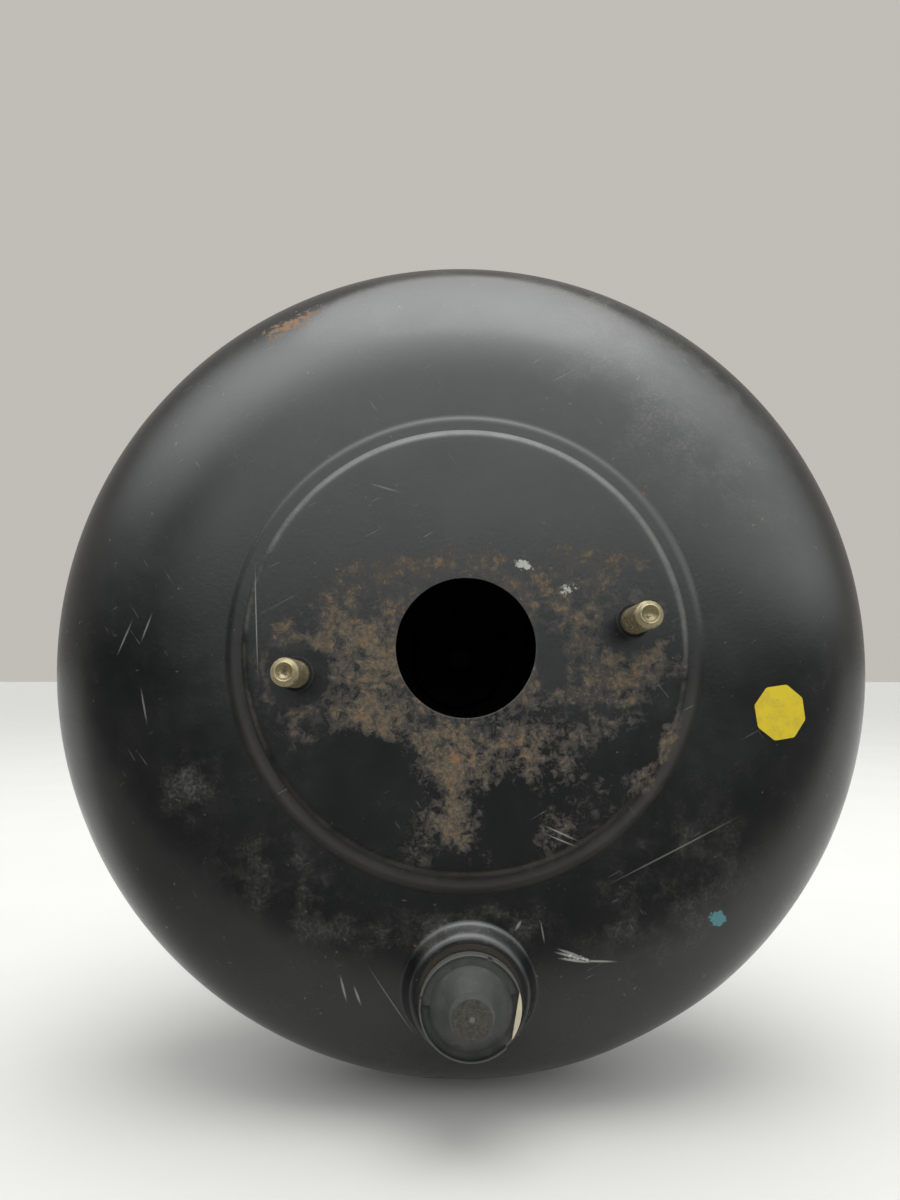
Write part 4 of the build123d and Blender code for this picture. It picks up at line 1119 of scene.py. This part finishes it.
@dataclass
class CheckValve:
    """Rubber grommet, cream flange and broken grey cap of the vacuum port."""

    x: float = PORT[0]
    z: float = PORT[1]
    seat: float = -127.0
    grommet: float = 14.6
    grommet_height: float = 3.5
    grommet_end: float = -122.0
    rim: float = 13.9
    lip: float = 13.3
    rim_end: float = -135.6
    flange: float = -132.3
    stump: float = 5.5
    stump_end: float = -144.0
    break_angle: float = -10.0
    break_chord: float = 12.1
    break_gap: float = 0.05
    edge_half: float = 60.0
    rim_parts: tuple[Pair, ...] = ((18.0, 47.0), (71.0, 95.0), (170.0, 143.0))
    ledge: Pair = (18.0, 158.0)

    def build(self, finishes: Finishes) -> None:
        """Builds and dresses the port's pieces."""
        self.build_grommet(finishes)
        self.build_cap(finishes)
        self.build_flange_edge(finishes)

    def build_grommet(self, finishes: Finishes) -> None:
        """Rubber ring with soft edges, pressed into the seat."""
        top, foot = self.seat - self.grommet_height, self.seat + 0.4
        line = closed((6.5, self.grommet_end, 0.0), (6.5, top, 0.0), (self.grommet, top, 1.1),
                      (self.grommet, foot, 0.5), (12.0, foot, 0.0), (9.4, foot, 0.0),
                      (9.4, self.grommet_end, 0.0))
        work = bmesh.new()
        Lathe(self.x, self.z).turn(work, line, 96)
        tidy(work)
        made = piece("port_grommet", work, finishes["dirty_rubber"])
        settle(made, Slot.RUBBER, "vacuum_grommet")

    def build_cap(self, finishes: Finishes) -> None:
        """Cone and stump of the cap, snapped off along one side, and what is left of its rim."""
        lathe = Lathe(self.x, self.z)
        base = self.rim_end + 1.7
        line = rounded(((0.0, self.stump_end + 0.3, 0.0), (2.5, self.stump_end + 0.1, 0.0),
                        (self.stump, self.stump_end, 0.5), (self.stump + 0.4, self.stump_end + 3.0, 0.8),
                        (11.2, self.rim_end + 0.6, 0.6), (11.3, base, 0.0), (self.rim, base, 0.0),
                        (self.rim, self.flange, 0.0), (9.8, self.flange, 0.0), (9.8, self.rim_end + 0.8, 0.0),
                        (3.0, self.stump_end + 4.4, 0.0), (0.0, self.stump_end + 4.4, 0.0)))
        work = bmesh.new()
        lathe.turn(work, line, 120, closed=False)
        bmesh.ops.remove_doubles(work, verts=work.verts, dist=1e-6)
        out = direction(self.break_angle)
        cut_off(work, (Vector((self.x, 0.0, self.z)) + out * self.break_chord) * MM, out, True)
        root = base + 0.3
        lip = closed((self.lip, root, 0.0), (self.lip, self.rim_end, 0.2), (self.rim, self.rim_end, 0.25),
                     (self.rim, root, 0.0))
        for start, sweep in self.rim_parts:
            lathe.turn(work, lip, max(8, int(sweep / 3)), start, sweep)
        ledge = closed((10.9, root, 0.0), (10.9, self.rim_end + 0.35, 0.2), (13.35, self.rim_end + 0.75, 0.2),
                       (13.35, root, 0.0))
        start, sweep = self.ledge
        lathe.turn(work, ledge, 54, start, sweep)
        tidy(work)
        made = piece("check_valve_broken_cap", work, finishes["grey_plastic"], 30.0)
        settle(made, Slot.GREY_PLASTIC, "check_valve_cap")

    def build_flange_edge(self, finishes: Finishes) -> None:
        """The cream flange where it shows beside the broken side of the cap."""
        root = self.flange + 0.2
        line = closed((9.9, root, 0.0), (9.9, self.rim_end + 1.0, 0.2), (13.7, self.rim_end + 0.7, 0.4),
                      (13.7, root, 0.0))
        work = bmesh.new()
        Lathe(self.x, self.z).turn(work, line, 60, self.break_angle - self.edge_half, 2 * self.edge_half)
        out = direction(self.break_angle)
        edge = Vector((self.x, 0.0, self.z)) + out * (self.break_chord + self.break_gap)
        cut_off(work, edge * MM, out, False)
        tidy(work)
        made = piece("check_valve_flange_edge", work, finishes["cream_plastic"])
        settle(made, Slot.CREAM_PLASTIC)


@dataclass
class BlankLabel:
    """Plain yellow eight-sided label on the dome."""

    x: float = 92.6
    z: float = -18.9
    across: float = 15.6
    turn: float = 8.0
    thickness: float = 0.18
    corner: float = 0.5
    lift: float = 0.04
    cuts: int = 5

    def build(self, shell: FrontShell, finishes: Finishes) -> None:
        """Builds and dresses the label.

        Args:
            shell: The shell that it is stuck on.
            finishes: The materials.
        """
        work = bmesh.new()
        radius = self.across / 2 / math.cos(math.radians(22.5)) * MM
        bmesh.ops.create_circle(work, cap_ends=True, segments=8, radius=radius)
        bmesh.ops.bevel(work, geom=work.verts[:], offset=self.corner * MM, offset_type="OFFSET",
                        affect="VERTICES", segments=3, profile=0.5, material=-1)
        bmesh.ops.poke(work, faces=work.faces[:])
        bmesh.ops.subdivide_edges(work, edges=work.edges[:], cuts=self.cuts, use_grid_fill=True)
        turn = Matrix.Rotation(math.radians(22.5 + self.turn), 4, "Z")
        bmesh.ops.transform(work, matrix=turn, verts=work.verts)
        for vert in work.verts:
            x, z = self.x + vert.co.x / MM, self.z + vert.co.y / MM
            vert.co = Vector((x, shell.dome_at(math.hypot(x, z)) - self.lift, z)) * MM
        grown = bmesh.ops.extrude_face_region(work, geom=work.faces[:])
        raised = [item for item in grown["geom"] if isinstance(item, bmesh.types.BMVert)]
        bmesh.ops.translate(work, verts=raised, vec=(0.1 * self.thickness * MM, -self.thickness * MM, 0.0))
        tidy(work)
        made = piece("blank_label", work, finishes["label_film"], 40.0)
        settle(made, Slot.YELLOW_ZINC)


@dataclass
class RearShell:
    """Pressed rear shell with its neck, turned smoothly."""

    sheet: float = 1.6
    steps: int = 240
    corners: tuple[Corner, ...] = (
        (134.4, -62.0, 0.0), (127.5, -62.0, 2.5), (127.5, -46.0, 8.0), (117.0, -33.0, 14.0),
        (82.0, -20.0, 7.0), (69.0, -1.6, 5.0), (27.2, -1.6, 2.5), (27.2, 27.0, 0.0))

    def build(self, finishes: Finishes) -> None:
        """Builds and dresses the shell."""
        inner = rounded(self.corners, 8)
        work = bmesh.new()
        Lathe().turn(work, inner + beside(inner, self.sheet), self.steps)
        tidy(work)
        made = piece("rear_shell_pressing", work, finishes["black_paint"], 40.0)
        settle(made, Slot.BLACK_PAINT, "rear_shell")


@dataclass
class DustBoot:
    """Rubber bellows between the neck and the pedal rod."""

    neck: float = 28.85
    start: float = 14.0
    folds: int = 5
    first: float = 26.0
    pitch: float = 7.0
    crest: float = 34.0
    root: float = 27.5
    collar: float = 5.1
    bead: Pair = (2.6, 3.0)
    sheet: float = 1.3
    end: float = 80.0
    shut: float = 0.52

    def build(self, finishes: Finishes) -> None:
        """Builds and dresses the boot."""
        corners = [(self.neck, self.start, 0.0), (self.neck, self.first, 1.0)]
        for fold in range(self.folds):
            y = self.first + fold * self.pitch
            corners += [(self.crest, y + self.pitch / 2, 1.2), (self.root, y + self.pitch, 1.2)]
        corners += [(14.0, 70.0, 3.0), (self.collar, 72.0, 1.2), (self.collar, self.end, 0.0)]
        inner = rounded(corners, 6)
        work = bmesh.new()
        Lathe().turn(work, inner + beside(inner, self.sheet), 120)
        wide, high = self.bead
        bead = closed((self.neck, self.start, 0.0), (self.neck + wide, self.start, 0.9),
                      (self.neck + wide, self.start + high, 0.9), (self.neck, self.start + high, 0.0))
        Lathe().turn(work, bead, 120)
        tidy(work)
        made = piece("dust_boot_bellows", work, finishes["rubber"], 60.0)
        settle(made, Slot.RUBBER, "dust_boot")
        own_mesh(made)


@dataclass
class CarriedNodes:
    """CAD pieces that keep their shape and take a finish."""

    oiled: tuple[str, ...] = ("output_rod", "output_rod_retainer", "reaction_disc", "return_spring",
                              "diaphragm_plate")

    def dress(self, finishes: Finishes) -> None:
        """Gives every CAD node the finish of its slot, and those seen through the bore a near-black steel
        that paints the bore's shade.
        """
        for name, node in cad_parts.items():
            for held in node.material_slots:
                slot = held.material.name.split(".")[0] if held.material else ""
                wanted = slot if slot in finishes.made else "steel"
                held.material = finishes["bore_shade_steel" if name in self.oiled else wanted]
            LOG.info("%s: %s", name, [held.material.name for held in node.material_slots])


# ---------------------------------------------------------------- studio
@dataclass
class Studio:
    """Floor, world, lamp and camera."""

    floor_tilt: float = 1.5
    floor_low: float = -136.55
    touch: float = -64.0
    half_floor: float = 40.0
    eye: Corner = (-0.00785, -0.3819, -0.016)
    pitch: float = 96.61
    yaw: float = -0.71
    lens: float = 26.55
    wall: Corner = (0.530, 0.512, 0.470)
    sky: Corner = (0.97, 1.0, 1.0)
    ambient: Corner = (0.62, 0.63, 0.63)
    front: float = 0.5
    floor: Colour = (0.91, 0.90, 0.865, 1.0)
    floor_stain: Colour = (0.6, 0.59, 0.56, 1.0)
    floor_mirrored: Colour = (0.03, 0.03, 0.03, 1.0)
    floor_ahead: Ease = (-0.24, -0.12, 0.93, 0.0)
    floor_left: Ease = (-0.20, 0.0, 0.65, 0.0)
    floor_left_end: Ease = (-0.12, -0.04, 1.0, 0.0)
    low_sky: Ease = (0.01, 0.26, 0.035, 2.6)
    high_sky: Ease = (0.45, 0.86, 0.0, 2.7)
    side_sky: Ease = (-0.75, -0.1, 0.18, 1.0)
    side_top: Ease = (0.2, 0.6)
    behind: Ease = (0.34, -0.46)
    ahead: Ease = (0.3, -0.5)
    dim_wall: float = 0.72
    lamp_place: Corner = (0.1, -0.25, 1.5)
    lamp_aim: Corner = (0.0, -0.06, 0.0)
    lamp_size: float = 1.6
    lamp_power: float = 14.0

    def build(self) -> None:
        """Builds the whole studio."""
        self.build_floor()
        self.build_world()
        self.build_lamp()
        self.build_camera()

    def build_floor(self) -> None:
        """Pale plane that the booster stands on, rising a little to the back."""
        work = bmesh.new()
        bmesh.ops.create_grid(work, x_segments=8, y_segments=8, size=self.half_floor)
        turn = Matrix.Rotation(math.radians(self.floor_tilt), 4, "X")
        rest = Matrix.Translation((0.0, self.touch * MM, self.floor_low * MM))
        bmesh.ops.transform(work, matrix=rest @ turn, verts=work.verts)
        material = bpy.data.materials.new("pale_floor")
        material.use_nodes = True
        material.node_tree.nodes.clear()
        graph = Graph(material.node_tree)
        place = graph.node("TexCoord").outputs["Object"]
        stain = graph.ease(graph.cloud(place, 9.0, 5.0), 0.3, 0.7, 0.0, 0.06)
        colour = graph.blend(stain, self.floor, self.floor_stain)
        parts = graph.node("SeparateXYZ", {0: place})
        # For glossy rays only, the floor ahead of the booster and to its left is painted near-black: a
        # painted dark reflection in the shell.
        ahead = graph.ease(parts.outputs[1], *self.floor_ahead)
        left = graph.ease(parts.outputs[0], *self.floor_left)
        left = graph.product(left, graph.ease(parts.outputs[1], *self.floor_left_end))
        mirrored = graph.node("LightPath").outputs["Is Glossy Ray"]
        reflection_darkening = graph.product(graph.highest([ahead, left]), mirrored)
        colour = graph.blend(reflection_darkening, colour, self.floor_mirrored)
        shader = graph.node("BsdfPrincipled", {"Base Color": colour, "Roughness": 0.6,
                                               "Specular IOR Level": 0.05})
        output = graph.node("OutputMaterial")
        graph.feed(output.inputs["Surface"], shader.outputs[0])
        floor = piece("studio_floor", work, material)

    def build_world(self) -> None:
        """Pale wall ahead; bright above and dim behind the camera in reflections."""
        world = bpy.data.worlds.new("studio")
        bpy.context.scene.world = world
        world.use_nodes = True
        world.node_tree.nodes.clear()
        graph = Graph(world.node_tree)
        way = graph.node("SeparateXYZ", {0: graph.node("TexCoord").outputs["Generated"]})
        rise = way.outputs[2]
        sky = graph.ease(rise, *self.low_sky)
        sky = graph.math("ADD", sky, graph.ease(rise, *self.high_sky))
        side = graph.highest([graph.ease(way.outputs[0], *self.side_sky), graph.ease(rise, *self.side_top)])
        room = graph.node("VectorMath", {0: self.sky, "Scale": graph.product(sky, side)}, operation="SCALE")
        wall = (*self.wall, 1.0)
        behind = graph.ease(way.outputs[1], *self.behind)
        dim_wall = tuple(self.dim_wall * part for part in self.wall) + (1.0,)
        mirrored = graph.blend(behind, dim_wall, room.outputs[0])
        rays = graph.node("LightPath")
        seen = graph.math("MAXIMUM", rays.outputs["Is Camera Ray"], rays.outputs["Is Transmission Ray"])
        ahead = graph.math("MULTIPLY_ADD", graph.ease(way.outputs[1], *self.ahead), self.front, 1.0)
        soft = graph.node("VectorMath", {0: self.ambient, "Scale": ahead}, operation="SCALE").outputs[0]
        colour = graph.blend(rays.outputs["Is Glossy Ray"], soft, mirrored)
        colour = graph.blend(seen, colour, wall)
        background = graph.node("Background", {"Color": colour, "Strength": 1.0})
        output = graph.node("OutputWorld")
        graph.feed(output.inputs["Surface"], background.outputs[0])

    def build_lamp(self) -> None:
        """One wide soft lamp above and in front."""
        data = bpy.data.lights.new("overhead", "AREA")
        data.shape = "DISK"
        data.size = self.lamp_size
        data.energy = self.lamp_power
        lamp = bpy.data.objects.new("overhead", data)
        lamp.location = self.lamp_place
        way = Vector(self.lamp_aim) - Vector(self.lamp_place)
        lamp.rotation_euler = way.to_track_quat("-Z", "Y").to_euler()
        bpy.context.scene.collection.objects.link(lamp)

    def build_camera(self) -> None:
        """Close wide-angle camera in front of the master cylinder face."""
        data = bpy.data.cameras.new("view")
        data.lens = self.lens
        data.sensor_width = 36.0
        data.sensor_fit = "AUTO"
        data.clip_start = 0.005
        camera = bpy.data.objects.new("view", data)
        camera.location = self.eye
        camera.rotation_euler = (math.radians(self.pitch), 0.0, math.radians(self.yaw))
        bpy.context.scene.collection.objects.link(camera)
        bpy.context.scene.camera = camera
        bpy.context.scene.view_settings.view_transform = "Standard"


def main() -> None:
    """Builds every sub-assembly in order."""
    logging.basicConfig(level=logging.INFO, format="%(message)s")
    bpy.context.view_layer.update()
    finishes = Finishes.build(Effects())
    shell = FrontShell()
    CarriedNodes().dress(finishes)
    shell.build(finishes)
    ThreadedStuds("cylinder_studs", STUD_PLACES, -124.0, -144.3, "master_cylinder_studs").build(finishes)
    ThreadedStuds("wall_studs", WALL_STUD_PLACES, 0.0, 24.0, "bulkhead_studs").build(finishes)
    CheckValve().build(finishes)
    BlankLabel().build(shell, finishes)
    RearShell().build(finishes)
    DustBoot().build(finishes)
    Studio().build()


if __name__ == "__main__":
    main()
